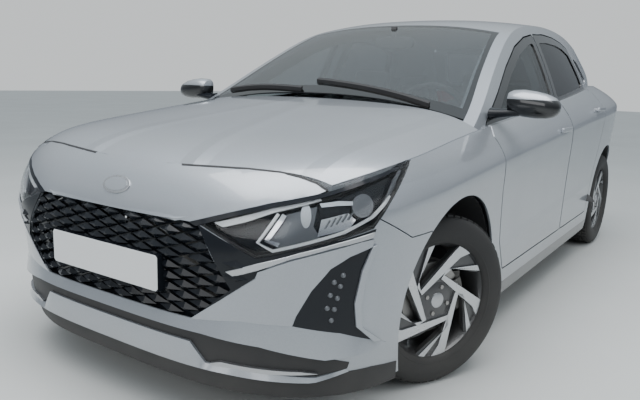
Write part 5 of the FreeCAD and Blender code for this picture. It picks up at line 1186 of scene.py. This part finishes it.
# %% Grille scales in rows, each row half a scale beside the last
GRILLE_HALF = [(0.0, 0.352), (0.42, 0.352), (0.565, 0.470), (0.452, 0.640), (0.0, 0.652)]
GRILLE_RING = [Vector(spot) for spot in both_halves(GRILLE_HALF)]
GUSSET_RING = [Vector(spot) for spot in seen((194, 314), (231, 288), (204, 238), (222, 247), (250, 266), (250, 277))]
SCALE_WIDE = 0.125
SCALE_TALL = 0.036
GRILLE_FOOT = 0.350
GRILLE_SINK = 0.010
SCALE_TIP = Vector((0, 0, -0.22))
scale_spots = []
for row in range(18):
    height = GRILLE_FOOT + row * SCALE_TALL / 2
    for column in range(-7, 8):
        angle = (column + 0.5 * (row % 2)) * SCALE_WIDE
        spot = Vector((angle, height))
        sunk = inside(spot, GRILLE_RING)
        if not sunk and not inside(Vector((abs(angle), height)), GUSSET_RING):
            continue
        place, out = nose.place(spot, -GRILLE_SINK if sunk else 0.0)
        scale_spots.append((place, (out + SCALE_TIP).normalized(), Vector((-math.sin(angle), math.cos(angle), 0))))
studs(
    "grille_scales", scale_spots, gloss_black, "body", slot="gloss_trim",
    Width=0.047, Length=0.016, Height=0.012, Corners=4, Top_Share=0.22,
)

# %% Blank plate and bare badge
plate_x, plate_half, plate_low, plate_high = 2.0325, 0.260, 0.428, 0.540
corner_cut = 0.008
rim = []
for y_way, z_at in ((1, plate_low), (1, plate_high), (-1, plate_high), (-1, plate_low)):
    z_way = 1 if z_at == plate_low else -1
    corners = [(plate_half - corner_cut, z_at), (plate_half, z_at + z_way * corner_cut)]
    if (y_way > 0) != (z_at == plate_low):
        corners.reverse()
    rim += [Vector((0, y_way * y, z)) for y, z in corners]
PLATE_THICK = 0.0015
plate_points = [Vector((plate_x + depth, spot.y, spot.z)) for depth in (0.0, PLATE_THICK) for spot in rim]
count = len(rim)
plate_faces = [list(range(count)), list(range(count, 2 * count))]
plate_faces += [[i, (i + 1) % count, (i + 1) % count + count, i + count] for i in range(count)]
plate_white = plastic(
    "blank_plate_white", (0.74, 0.75, 0.76, 1), shine=0.38, scale=300.0, contrast=0.06, bump=0.03, dirt=0.05,
)
mesh_piece("blank_plate", plate_points, plate_faces, plate_white, "body", bevel=0.0006)
BADGE = (0.0, 0.716)
for name, wide, tall, lift, made, slot, bevel in (
    ("bare_badge", 0.078, 0.026, 0.006, satin_metal, "steel", 0.002),
    ("badge_field", 0.064, 0.019, 0.0068, paint, "paint", 0.0),
):
    raised(name, oval(BADGE, wide, tall), nose, even([BADGE], lift), made, "body", step=0.01, bevel=bevel)

# %% Day lamp chips in the horn
chips = []
for pixel in ((343, 275), (340, 286), (337, 298), (334, 309), (331, 320), (334, 282), (330, 295), (327, 308)):
    for side in (1, -1):
        place, out = nose.place(unrolled(pixel), 0.003)
        place.y, out.y = place.y * side, out.y * side
        chips.append((place, out, Vector((0, 0, 1))))
studs(
    "day_lamp_chips", chips, bezel_grey, "body", slot="lens", smooth=True,
    Width=0.008, Length=0.008, Height=0.006, Corners=12, Top_Share=0.6,
)

# %% [markdown]
# ## Tyres
# A tyre is a turned carcass with a raised rim ring and lettering free side
# walls. Its tread is made of blocks: five rings of studs stand on the carcass
# and reach the tyre's real radius, so the grooves between them are true gaps.

# %% Carcass and tread of the four tyres
CARCASS = [
    (214, 84), (222, 90), (240, 95), (262, 97.4), (278, 96), (290, 92), (299, 85), (302.5, 78), (303, 0),
    (302.5, -78), (299, -85), (290, -92), (278, -96), (262, -97.4), (240, -95), (222, -90), (214, -84),
    (209, -76), (212, 0), (209, 76),
]
TYRE_RING = [(226, 92.0), (229, 93.4), (232, 93.2), (232, 90)]
TREAD_RINGS = (0, 30, -30, 61, -61)
TREAD_BASE = 302.8
BLOCKS = 58
for corner, (place, turned, flip) in WHEELS.items():
    body = f"{corner}_wheel"
    carcass = lathe(f"tyre_carcass_{corner}", CARCASS, rubber, body, place, turned, flip, slot="tyre", parts=112)
    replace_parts(carcass, f"tyre_{corner}")
    middle = wheel_point(0, 0, 0, place, turned, flip)
    axle = (wheel_point(0, 0, 1, place, turned, flip) - middle).normalized()
    blocks = []
    for ring, outboard in enumerate(TREAD_RINGS):
        for block in range(BLOCKS):
            angle = 360 * (block + 0.5 * (ring % 2)) / BLOCKS
            spot = polar(TREAD_BASE, angle)
            point = wheel_point(spot.x, spot.y, outboard, place, turned, flip)
            centre = wheel_point(0, 0, outboard, place, turned, flip)
            blocks.append((point, (point - centre).normalized(), axle))
    studs(
        f"tyre_tread_{corner}", blocks, rubber, body, slot="tyre",
        Width=0.0172, Length=0.0185, Height=0.0072, Corners=4, Top_Share=0.93, Twist=math.pi / 4,
    )
    lathe(f"tyre_ring_{corner}", TYRE_RING, rubber, body, place, turned, flip, slot="tyre", parts=112)
print("tyres done")

# %% [markdown]
# ## Padded seats
# A seat cushion is a closed crowned form: its sides pull in, its bolsters stand
# up at the edges and sewn channels cross its middle. Each one starts as a box
# grid that is rounded, then the bolsters and channels are pushed into its show
# side in code. A simulation isn't needed for foam that is as firm as this.

# %% Woven seat cloth
weave, begin, end = shader_group(
    "woven_cloth",
    [("Base", COLOUR, (0.1, 0.1, 0.1, 1)), ("Thread", NUMBER, 420.0), ("Fade", NUMBER, 0.3)],
    [("Color", COLOUR), ("Roughness", NUMBER), ("Height", NUMBER)],
)
place = axes(weave)
rising = maths(weave, "ADD", place["X"], place["Z"])
warp = maths(weave, "SINE", maths(weave, "MULTIPLY", rising, begin.outputs["Thread"]))
weft = maths(weave, "SINE", maths(weave, "MULTIPLY", place["Y"], begin.outputs["Thread"]))
crossing = maths(weave, "MULTIPLY_ADD", maths(weave, "MULTIPLY", warp, weft), 0.5, 0.5)
patchy = maths(weave, "MULTIPLY", noise(weave, 14.0, detail=5.0), begin.outputs["Fade"])
paleness = maths(weave, "ADD", maths(weave, "MULTIPLY", crossing, 0.22), patchy, clamp=True)
weave.links.new(mixed(weave, paleness, begin.outputs["Base"], (0.45, 0.46, 0.48, 1)), end.inputs["Color"])
weave.links.new(maths(weave, "MULTIPLY_ADD", crossing, 0.12, 0.80), end.inputs["Roughness"])
weave.links.new(crossing, end.inputs["Height"])


def woven(name, base, thread=1400.0):
    """Woven cloth with a soft sheen."""
    made, tree, shader = material(name, Sheen_Weight=0.4)
    cloth = place_group(tree, weave, Base=base, Thread=thread, Fade=0.25)
    tree.links.new(cloth.outputs["Color"], shader.inputs["Base Color"])
    tree.links.new(cloth.outputs["Roughness"], shader.inputs["Roughness"])
    bumped(tree, shader, cloth.outputs["Height"], 0.5, 0.0006)
    return made


seat_cloth = woven("dark_seat_cloth", (0.035, 0.036, 0.040, 1))
seat_middle = woven("grey_seat_middle", (0.085, 0.088, 0.095, 1), thread=1000.0)

# %% A padded form
ROUNDING = 6
PAD_SHARE, CORE_SHARE = 0.98, 0.80
BOLSTER_SEAM, SEAM_WIDTH = 0.62, 0.02
CHANNEL_DEPTH, CHANNEL_WIDTH = 0.007, 0.022
SEAT_Y = 0.365


def pad(name, middle, size, lean, channels=(), bolster=0.0, parts=34):
    """A crowned cushion. Size is (length, width, thickness); lean tips it back in degrees, 90 is flat."""
    work = bmesh.new()
    bmesh.ops.create_cube(work, size=2)
    bmesh.ops.subdivide_edges(work, edges=work.edges, cuts=parts, use_grid_fill=True)
    tip = math.radians(lean)
    along = Vector((-math.sin(tip), 0, math.cos(tip)))
    out = Vector((math.cos(tip), 0, math.sin(tip)))
    for vertex in work.verts:
        a, b, c = vertex.co
        norm = (abs(a) ** ROUNDING + abs(b) ** ROUNDING + abs(c) ** ROUNDING) ** (1 / ROUNDING)
        a, b, c = a / norm, b / norm, c / norm
        show = max(c, 0)
        thick = c * size[2] / 2 * CORE_SHARE
        crown = 0.10 * size[2] * (1 - a * a) * (1 - b * b)
        side = bolster * max(0, (abs(b) - 0.60) / 0.40) * (1 - abs(a) ** 8)
        side *= 1 - max(0, abs(b) - 0.92) / 0.10
        dip = 0.0
        for channel in channels:
            if abs(b) < BOLSTER_SEAM:
                dip += CHANNEL_DEPTH * math.exp(-((a - channel) / CHANNEL_WIDTH) ** 2)
        dip += 0.009 * math.exp(-((abs(b) - BOLSTER_SEAM) / SEAM_WIDTH) ** 2) * (bolster > 0)
        thick += show * (crown + side - dip)
        waist = 1 - 0.03 * (1 - a * a)
        up_by = along * (a * size[0] / 2 * PAD_SHARE)
        across_by = Vector((0, 1, 0)) * (b * size[1] / 2 * PAD_SHARE * waist)
        vertex.co = Vector(middle) + up_by + across_by + out * thick
    mesh = bpy.data.meshes.new(name)
    bmesh.ops.recalc_face_normals(work, faces=work.faces)
    work.to_mesh(mesh)
    work.free()
    piece = bpy.data.objects.new(name, mesh)
    scene.collection.objects.link(piece)
    finish(piece, seat_cloth)
    mesh.polygons.foreach_set("use_smooth", [True] * len(mesh.polygons))
    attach(piece, "body")
    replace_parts(piece, "seats")
    print("pad", name, len(mesh.polygons), "faces")


# %% Front seats and rear bench
BACK_CHANNELS = (-0.5, -0.17, 0.17, 0.5)
for side, mark in ((1, "left"), (-1, "right")):
    y = side * SEAT_Y
    pad(f"front_cushion_{mark}", (0.146, y, 0.405), (0.50, 0.50, 0.150), 90, (-0.35, 0.0, 0.35), bolster=0.022)
    pad(f"front_backrest_{mark}", (-0.228, y, 0.706), (0.575, 0.50, 0.105), 19, BACK_CHANNELS, bolster=0.020)
    pad(f"front_headrest_{mark}", (-0.3045, y, 1.056), (0.146, 0.245, 0.085), 10, parts=16)
pad("rear_cushion", (-0.645, 0, 0.405), (0.470, 1.255, 0.150), 90, (-0.4, 0.0, 0.4), bolster=0.006, parts=40)
pad("rear_backrest", (-0.9935, 0, 0.682), (0.522, 1.255, 0.100), 11.3, (-0.5, 0.0, 0.5), bolster=0.006, parts=40)
for number, y in enumerate((-0.42, 0.0, 0.42)):
    pad(f"rear_headrest_{number}", (-1.055, y, 0.995), (0.115, 0.225, 0.075), 8, parts=14)

# %% [markdown]
# ## Seat bases and headrest posts
# Each front seat stands on a base of two stacked boxes with narrowed tops. The
# posts of its headrest are studs from the same tree as the scales.

# %% Stacked outlines
def stacked(name, rings, made, body, bevel=0.003):
    """A closed body through rings of points, with capped ends."""
    points = [point for ring in rings for point in ring]
    count = len(rings[0])
    faces = [list(range(count)), [len(points) - count + index for index in range(count)]]
    for level in range(len(rings) - 1):
        for index in range(count):
            after = (index + 1) % count
            low, high = level * count, (level + 1) * count
            faces.append((low + index, low + after, high + after, high + index))
    return mesh_piece(name, points, faces, made, body, bevel=bevel)


def slab(low, high, inset):
    """Two rings of a box that narrows by an inset towards its top."""
    rings = []
    for z, cut in ((low[2], 0.0), (high[2], inset)):
        near_x, far_x, near_y, far_y = low[0] + cut, high[0] - cut, low[1] + cut, high[1] - cut
        rings.append([(near_x, near_y, z), (far_x, near_y, z), (far_x, far_y, z), (near_x, far_y, z)])
    return rings


for side, mark in ((1, "left"), (-1, "right")):
    y = side * SEAT_Y
    base = slab((-0.055, y - 0.20, 0.190), (0.345, y + 0.20, 0.262), 0.012)
    base += slab((-0.03, y - 0.17, 0.262), (0.32, y + 0.17, 0.326), 0.03)
    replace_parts(stacked(f"seat_base_{mark}", base, cabin_plastic, "body", bevel=0.004), "seats")
    posts = [
        (Vector((-0.292, y + way * 0.06, 0.975)), Vector((-0.19, 0, 0.98)), Vector((0, 1, 0))) for way in (-1, 1)
    ]
    studs(
        f"headrest_posts_{mark}", posts, steel, "body", slot="steel", smooth=True,
        Width=0.006, Length=0.006, Height=0.085, Corners=12, Top_Share=1.0,
    )
dash_low, dash_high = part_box("dashboard")
print("dashboard", [round(v, 3) for v in dash_low], [round(v, 3) for v in dash_high])

# %% [markdown]
# ## The tail
# The rear is finished from the type: red lamp bodies with pale bars inside, a
# thin red band and a handle on the lid, a black skirt with fins below and two
# reflectors. No plate is shown there, because the photograph doesn't show that
# side.

# %% Skin round the tail
TAIL_X = -1.15


def tail_ray(spot):
    """Round the tail: spot is (angle from straight back, height)."""
    out = Vector((-math.cos(spot[0]), math.sin(spot[0]), 0))
    return Vector((TAIL_X, 0, spot[1])) + out * FAR_OUT, -out


tail = Skin(
    ["rear_bumper", "tail_lamps", "tailgate_lamps", "tailgate", "body_sides"],
    tail_ray, (-1.2, 1.2), (0.23, 1.04), 0.02, 1.0,
)
lamp_bar = plastic("pale_red_bar", (0.62, 0.10, 0.09, 1), shine=0.2, contrast=0.05, bump=0.02, dirt=0.0, coat=0.5)

# %% Tail trims
# Each row is a name, low and high angle, low and high height, lift, finish,
# body, slot, whether it has a mirrored twin, and bevel.
tail_trims = [
    ("rear_skirt", -0.98, 0.98, 0.236, 0.360, 0.003, matt_black, "body", "black_trim", False, 0.0),
    ("rear_skirt_line", -0.96, 0.96, 0.362, 0.372, 0.006, satin_metal, "body", "steel", False, 0.001),
]
for number in range(3):
    start = 0.10 + 0.16 * number
    tail_trims.append(
        (f"skirt_fin_{number}", start, start + 0.02, 0.240, 0.335, 0.016, matt_black, "body", "black_trim", True, 0.002)
    )
tail_trims += [
    ("rear_reflector", 0.64, 0.86, 0.405, 0.425, 0.004, red_lens, "body", "red_lens", True, 0.001),
    # A thin matt black strip across the bumper at its shelf is painted shade under that step.
    ("bumper_shelf", -0.60, 0.60, 0.604, 0.611, 0.005, matt_black, "body", "black_trim", False, 0.0),
    ("tail_band", -0.46, 0.46, 0.948, 0.962, 0.0035, red_lens, "tailgate_lid", "red_lens", False, 0.001),
    ("lid_handle", -0.16, 0.16, 0.835, 0.862, 0.006, gloss_black, "tailgate_lid", "gloss_trim", False, 0.002),
    ("tailgate_lamp_bar", 0.50, 0.66, 0.952, 0.966, 0.003, lamp_bar, "tailgate_lid", "red_lens", True, 0.001),
    ("tailgate_lamp_foot", 0.50, 0.66, 0.892, 0.902, 0.003, guide_white, "tailgate_lid", "red_lens", True, 0.001),
    ("corner_lamp_bar", 0.76, 0.94, 0.952, 0.966, 0.003, lamp_bar, "body", "red_lens", True, 0.001),
    ("corner_lamp_foot", 0.76, 0.92, 0.892, 0.902, 0.003, guide_white, "body", "red_lens", True, 0.001),
]
for name, low_angle, high_angle, low_z, high_z, lift, made, body, slot, both, bevel in tail_trims:
    outline = [(low_angle, low_z), (high_angle, low_z), (high_angle, high_z), (low_angle, high_z)]
    raised(name, outline, tail, even(outline, lift), made, body, mirror=both, bevel=bevel)
print("tail trims done")

# %% [markdown]
# ## Brakes behind the spokes
# A plain turned disc shows through the open pockets, with a calliper beside it.
# The disc turns with the wheel. The calliper stays with the steering knuckle in
# front and with the body at the rear.

# %% Discs and callipers
DISC = [(60, 34), (128, 34), (130, 32), (130, 18), (128, 16), (60, 16)]
CALLIPER = arc(142, 152, 206, 8) + arc(92, 206, 152, 8)
CALLIPER_HOLDERS = {"front_left": "left_knuckle", "front_right": "right_knuckle"}
for corner, (place, turned, flip) in WHEELS.items():
    spot = dict(place=place, turned=turned, flip=flip)
    lathe(f"brake_disc_{corner}", DISC, steel, f"{corner}_wheel", slot="steel", parts=64, **spot)
    holder = CALLIPER_HOLDERS.get(corner, "body")
    plates(f"brake_calliper_{corner}", [CALLIPER], 38, 45, cast_iron, holder, bevel=0.003, slot="iron", **spot)
print("brakes done")

# %% [markdown]
# ## Bonnet creases and the screen's black edge
# Two creases run along each half of the bonnet, from the nose to the pillars.
# They are pressed lines, so they are a bump in the paint along two slanted
# planes. Where they run is read from the photograph on the bonnet itself. The
# windscreen's black printed edge is a mask in the tint of its glass.

# %% Bonnet creases
bonnet_skin = surface_of("bonnet")


def on_bonnet(pixel):
    """The point of the bonnet that the camera sees at a pixel."""
    return bonnet_skin.ray_cast(eye, sight(pixel))[0]


def plan_crease(first, last, wide):
    """An upright plane through two points of the photograph, for the crease group."""
    start, stop = on_bonnet(first), on_bonnet(last)
    way = Vector((stop.x - start.x, stop.y - start.y, 0)).normalized()
    square = Vector((-way.y, way.x, 0))
    print("crease from", [round(v, 3) for v in start], "to", [round(v, 3) for v in stop])
    return tuple(square), square.dot(start), wide


BONNET_CREASES = (plan_crease((200, 156), (296, 108), 0.055), plan_crease((318, 178), (440, 122), 0.050))
bonnet_paint = painted("silver_bonnet_paint", creases=BONNET_CREASES)
finish(nodes["bonnet"], bonnet_paint)

# %% Black edge of the windscreen
screen = [vertex.co for vertex in nodes["fixed_glass"].data.vertices if vertex.co.x > 0]


def screen_edge(x):
    """Half the width of the windscreen near a length."""
    return max(abs(point.y) for point in screen if abs(point.x - x) < 0.03)


TOP_X, BASE_X = 0.12, 0.70
EDGE_WIDTH = 0.032
PRINT_TOP_X, PRINT_BASE_X = 0.085, 0.765
edge_slope = (screen_edge(BASE_X) - screen_edge(TOP_X)) / (BASE_X - TOP_X)
edge_start = screen_edge(TOP_X) - edge_slope * TOP_X
screen_glass, tree, shader = material("windscreen_glass", Transmission_Weight=1.0, IOR=1.75, roughness=0.02)
place = axes(tree)
limit = maths(tree, "MULTIPLY_ADD", place["X"], edge_slope, edge_start - EDGE_WIDTH)
over_side = maths(tree, "GREATER_THAN", maths(tree, "ABSOLUTE", place["Y"]), limit)
over_top = maths(tree, "LESS_THAN", place["X"], PRINT_TOP_X)
over_base = maths(tree, "GREATER_THAN", place["X"], PRINT_BASE_X)
printed = maths(tree, "ADD", maths(tree, "ADD", over_side, over_top), over_base, clamp=True)
tinted = mixed(tree, noise(tree, 1.2), (0.42, 0.46, 0.47, 1), (0.46, 0.50, 0.51, 1))
tree.links.new(mixed(tree, printed, tinted, (0.004, 0.004, 0.005, 1)), shader.inputs["Base Color"])
finish(nodes["fixed_glass"], screen_glass)

# %% [markdown]
# ## Door cards and the cabin mirror
# With a door open its inner side shows, so each door has a moulded card with a
# raised arm rest. The card lies on the door's inner face, found by rays from
# the middle of the cabin. The mirror hangs at the top of the windscreen.

# %% Door cards
MID_CABIN_Y = 0.45


def door_ray(spot):
    """From inside the cabin towards the left doors: spot is (X, Z)."""
    return Vector((spot[0], MID_CABIN_Y, spot[1])), Vector((0, 1, 0))


for row, low_x, high_x in (("front", -0.250, 0.700), ("rear", -0.960, -0.360)):
    inner = Skin([f"door_{row}_left"], door_ray, (low_x - 0.04, high_x + 0.04), (0.33, 0.90), 0.02, 0.6)
    card = [(low_x, 0.36), (high_x - 0.02, 0.36), (high_x, 0.50), (high_x, 0.86), (low_x, 0.89)]
    rest = [(low_x + 0.10, 0.62), (high_x - 0.14, 0.66), (high_x - 0.10, 0.71), (low_x + 0.10, 0.69)]
    panel = [(low_x + 0.06, 0.73), (high_x - 0.10, 0.75), (high_x - 0.08, 0.82), (low_x + 0.06, 0.83)]
    for word, outline, lift, made, slot, bevel in (
        ("door_card", card, 0.010, cabin_plastic, "cabin_trim", 0.003),
        ("arm_rest", rest, 0.040, cabin_plastic, "cabin_trim", 0.008),
        ("card_cloth", panel, 0.014, seat_middle, "cloth", 0.003),
    ):
        carriers = (f"{row}_left_door", f"{row}_right_door")
        hills = even(outline, lift)
        raised(f"{row}_{word}", outline, inner, hills, made, carriers, mirror=True, bevel=bevel)


# %% Cabin mirror
def eased(value, power):
    """A sine or cosine raised to a power, with its sign kept."""
    return math.copysign(abs(value) ** power, value)


def round_box(middle, half, powers, parts):
    """A rounded box outline round a middle, fuller with smaller powers."""
    turns = [2 * math.pi * part / parts for part in range(parts)]
    outline = []
    for turn in turns:
        across, rise = eased(math.cos(turn), powers[0]), eased(math.sin(turn), powers[1])
        outline.append((middle[0] + half[0] * across, middle[1] + half[1] * rise))
    return outline


stalk = slab((0.105, -0.015, 1.300), (0.135, 0.015, 1.362), 0.002)
stacked("mirror_stalk", stalk, cabin_plastic, "body", bevel=0.002)
mirror_rings = [
    [(x, y, z) for y, z in round_box((0.0, 1.275), (0.115 * grow, 0.032 * grow), (0.5, 0.6), 28)]
    for x, grow in ((0.128, 0.80), (0.118, 1.0), (0.098, 1.0), (0.094, 0.94))
]
stacked("cabin_mirror", mirror_rings, cabin_plastic, "body", bevel=0.0)
print("cabin fittings done")

# %% [markdown]
# ## Door mirrors
# Each mirror is lofted from rings that swell and then close to a blunt point at
# the outer end: round in front, flat behind, where the glass sits. The upper
# half wears the paint. A black foot carries it on the door.

# %% Mirror housings, feet and glasses
def egg(y, middle_x, middle_z, deep, tall, flat_back, parts=32):
    """A ring across the car, round in front and flatter behind."""
    ring = []
    for part in range(parts):
        turn = 2 * math.pi * part / parts
        across, rise = math.cos(turn), math.sin(turn)
        power = 1.0 if across > 0 else flat_back
        ring.append((middle_x + deep * eased(across, power), y, middle_z + tall * eased(rise, 0.85)))
    return ring


def on_side(rings, side):
    """The rings as they are on the left, or mirrored on the right."""
    return [[(x, y * side, z) for x, y, z in ring] for ring in rings]


# Each row is the distance from the middle of the car, half the depth and half the height.
HOUSING = (
    (0.838, 0.020, 0.022), (0.842, 0.038, 0.038), (0.860, 0.050, 0.048), (0.900, 0.0545, 0.0545),
    (0.950, 0.0540, 0.0535), (0.990, 0.050, 0.048), (1.020, 0.041, 0.038), (1.036, 0.028, 0.025),
    (1.043, 0.013, 0.012),
)
FOOT = (
    (0.773, 0.046, 0.026), (0.790, 0.042, 0.022), (0.830, 0.034, 0.018), (0.890, 0.030, 0.016), (0.905, 0.020, 0.010),
)
SLOPE = 0.10
shell = [egg(y, 0.679, 1.006 - SLOPE * (y - HOUSING[0][0]), deep, tall, 0.35) for y, deep, tall in HOUSING]
stand = [egg(y, 0.690, 0.952 + SLOPE * (y - FOOT[0][0]), deep, tall, 0.8) for y, deep, tall in FOOT]
glass_edge = round_box((0.935, 0.999), (0.075, 0.040), (0.7, 0.7), 36)
pane = [[(x, y, z) for y, z in glass_edge] for x in (0.6285, 0.6255)]
for side, word in ((1, "left"), (-1, "right")):
    carrier = f"front_{word}_door"
    housing = stacked(
        f"mirror_housing_{word}", on_side(shell, side), mirror_paint, carrier, bevel=0.0,
    )
    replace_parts(housing, f"mirror_{word}")
    stacked(f"mirror_foot_{word}", on_side(stand, side), gloss_black, carrier, bevel=0.0)
    stacked(f"mirror_glass_{word}", on_side(pane, side), chrome, carrier, bevel=0.0006)
print("mirrors done")

# %% [markdown]
# ## Rear wiper and instruments
# The tailgate glass has one wiper that rests along its lower edge. On the
# dashboard stand the instrument panel behind the steering wheel and the screen
# in the middle, each on the dashboard's own height there.

# %% Rear wiper
rear_glass = Skin(["tailgate_glass"], tail_ray, (-0.42, 0.42), (1.075, 1.285), 0.02, 1.0)
for name, lift, bevel, outline in (
    ("rear_wiper_blade", 0.014, 0.002, [(-0.22, 1.090), (0.24, 1.092), (0.24, 1.101), (-0.22, 1.099)]),
    ("rear_wiper_arm", 0.024, 0.003, [
        (-0.018, 1.078), (0.018, 1.078), (0.060, 1.092), (0.060, 1.100), (0.0, 1.104), (-0.018, 1.100)]),
):
    hills = even(outline, lift)
    raised(name, outline, rear_glass, hills, matt_black, "tailgate_lid", bevel=bevel)

# %% Instrument panel and screen
PANEL_THICK = 0.022
SEAT_IN = 0.004
dash_skin = surface_of("dashboard")
for name, x, low_y, high_y, tall in (
    ("instrument_panel", 0.455, 0.235, 0.495, 0.085), ("centre_screen", 0.440, -0.125, 0.125, 0.115),
):
    foot = dash_skin.ray_cast(Vector((x, (low_y + high_y) / 2, 1.4)), Vector((0, 0, -1)))[0].z
    rings = slab((x, low_y, foot - SEAT_IN), (x + PANEL_THICK, high_y, foot + tall), 0.006)
    stacked(name, rings, gloss_black, "body", bevel=0.003)
    print(name, "stands at", round(foot, 3))
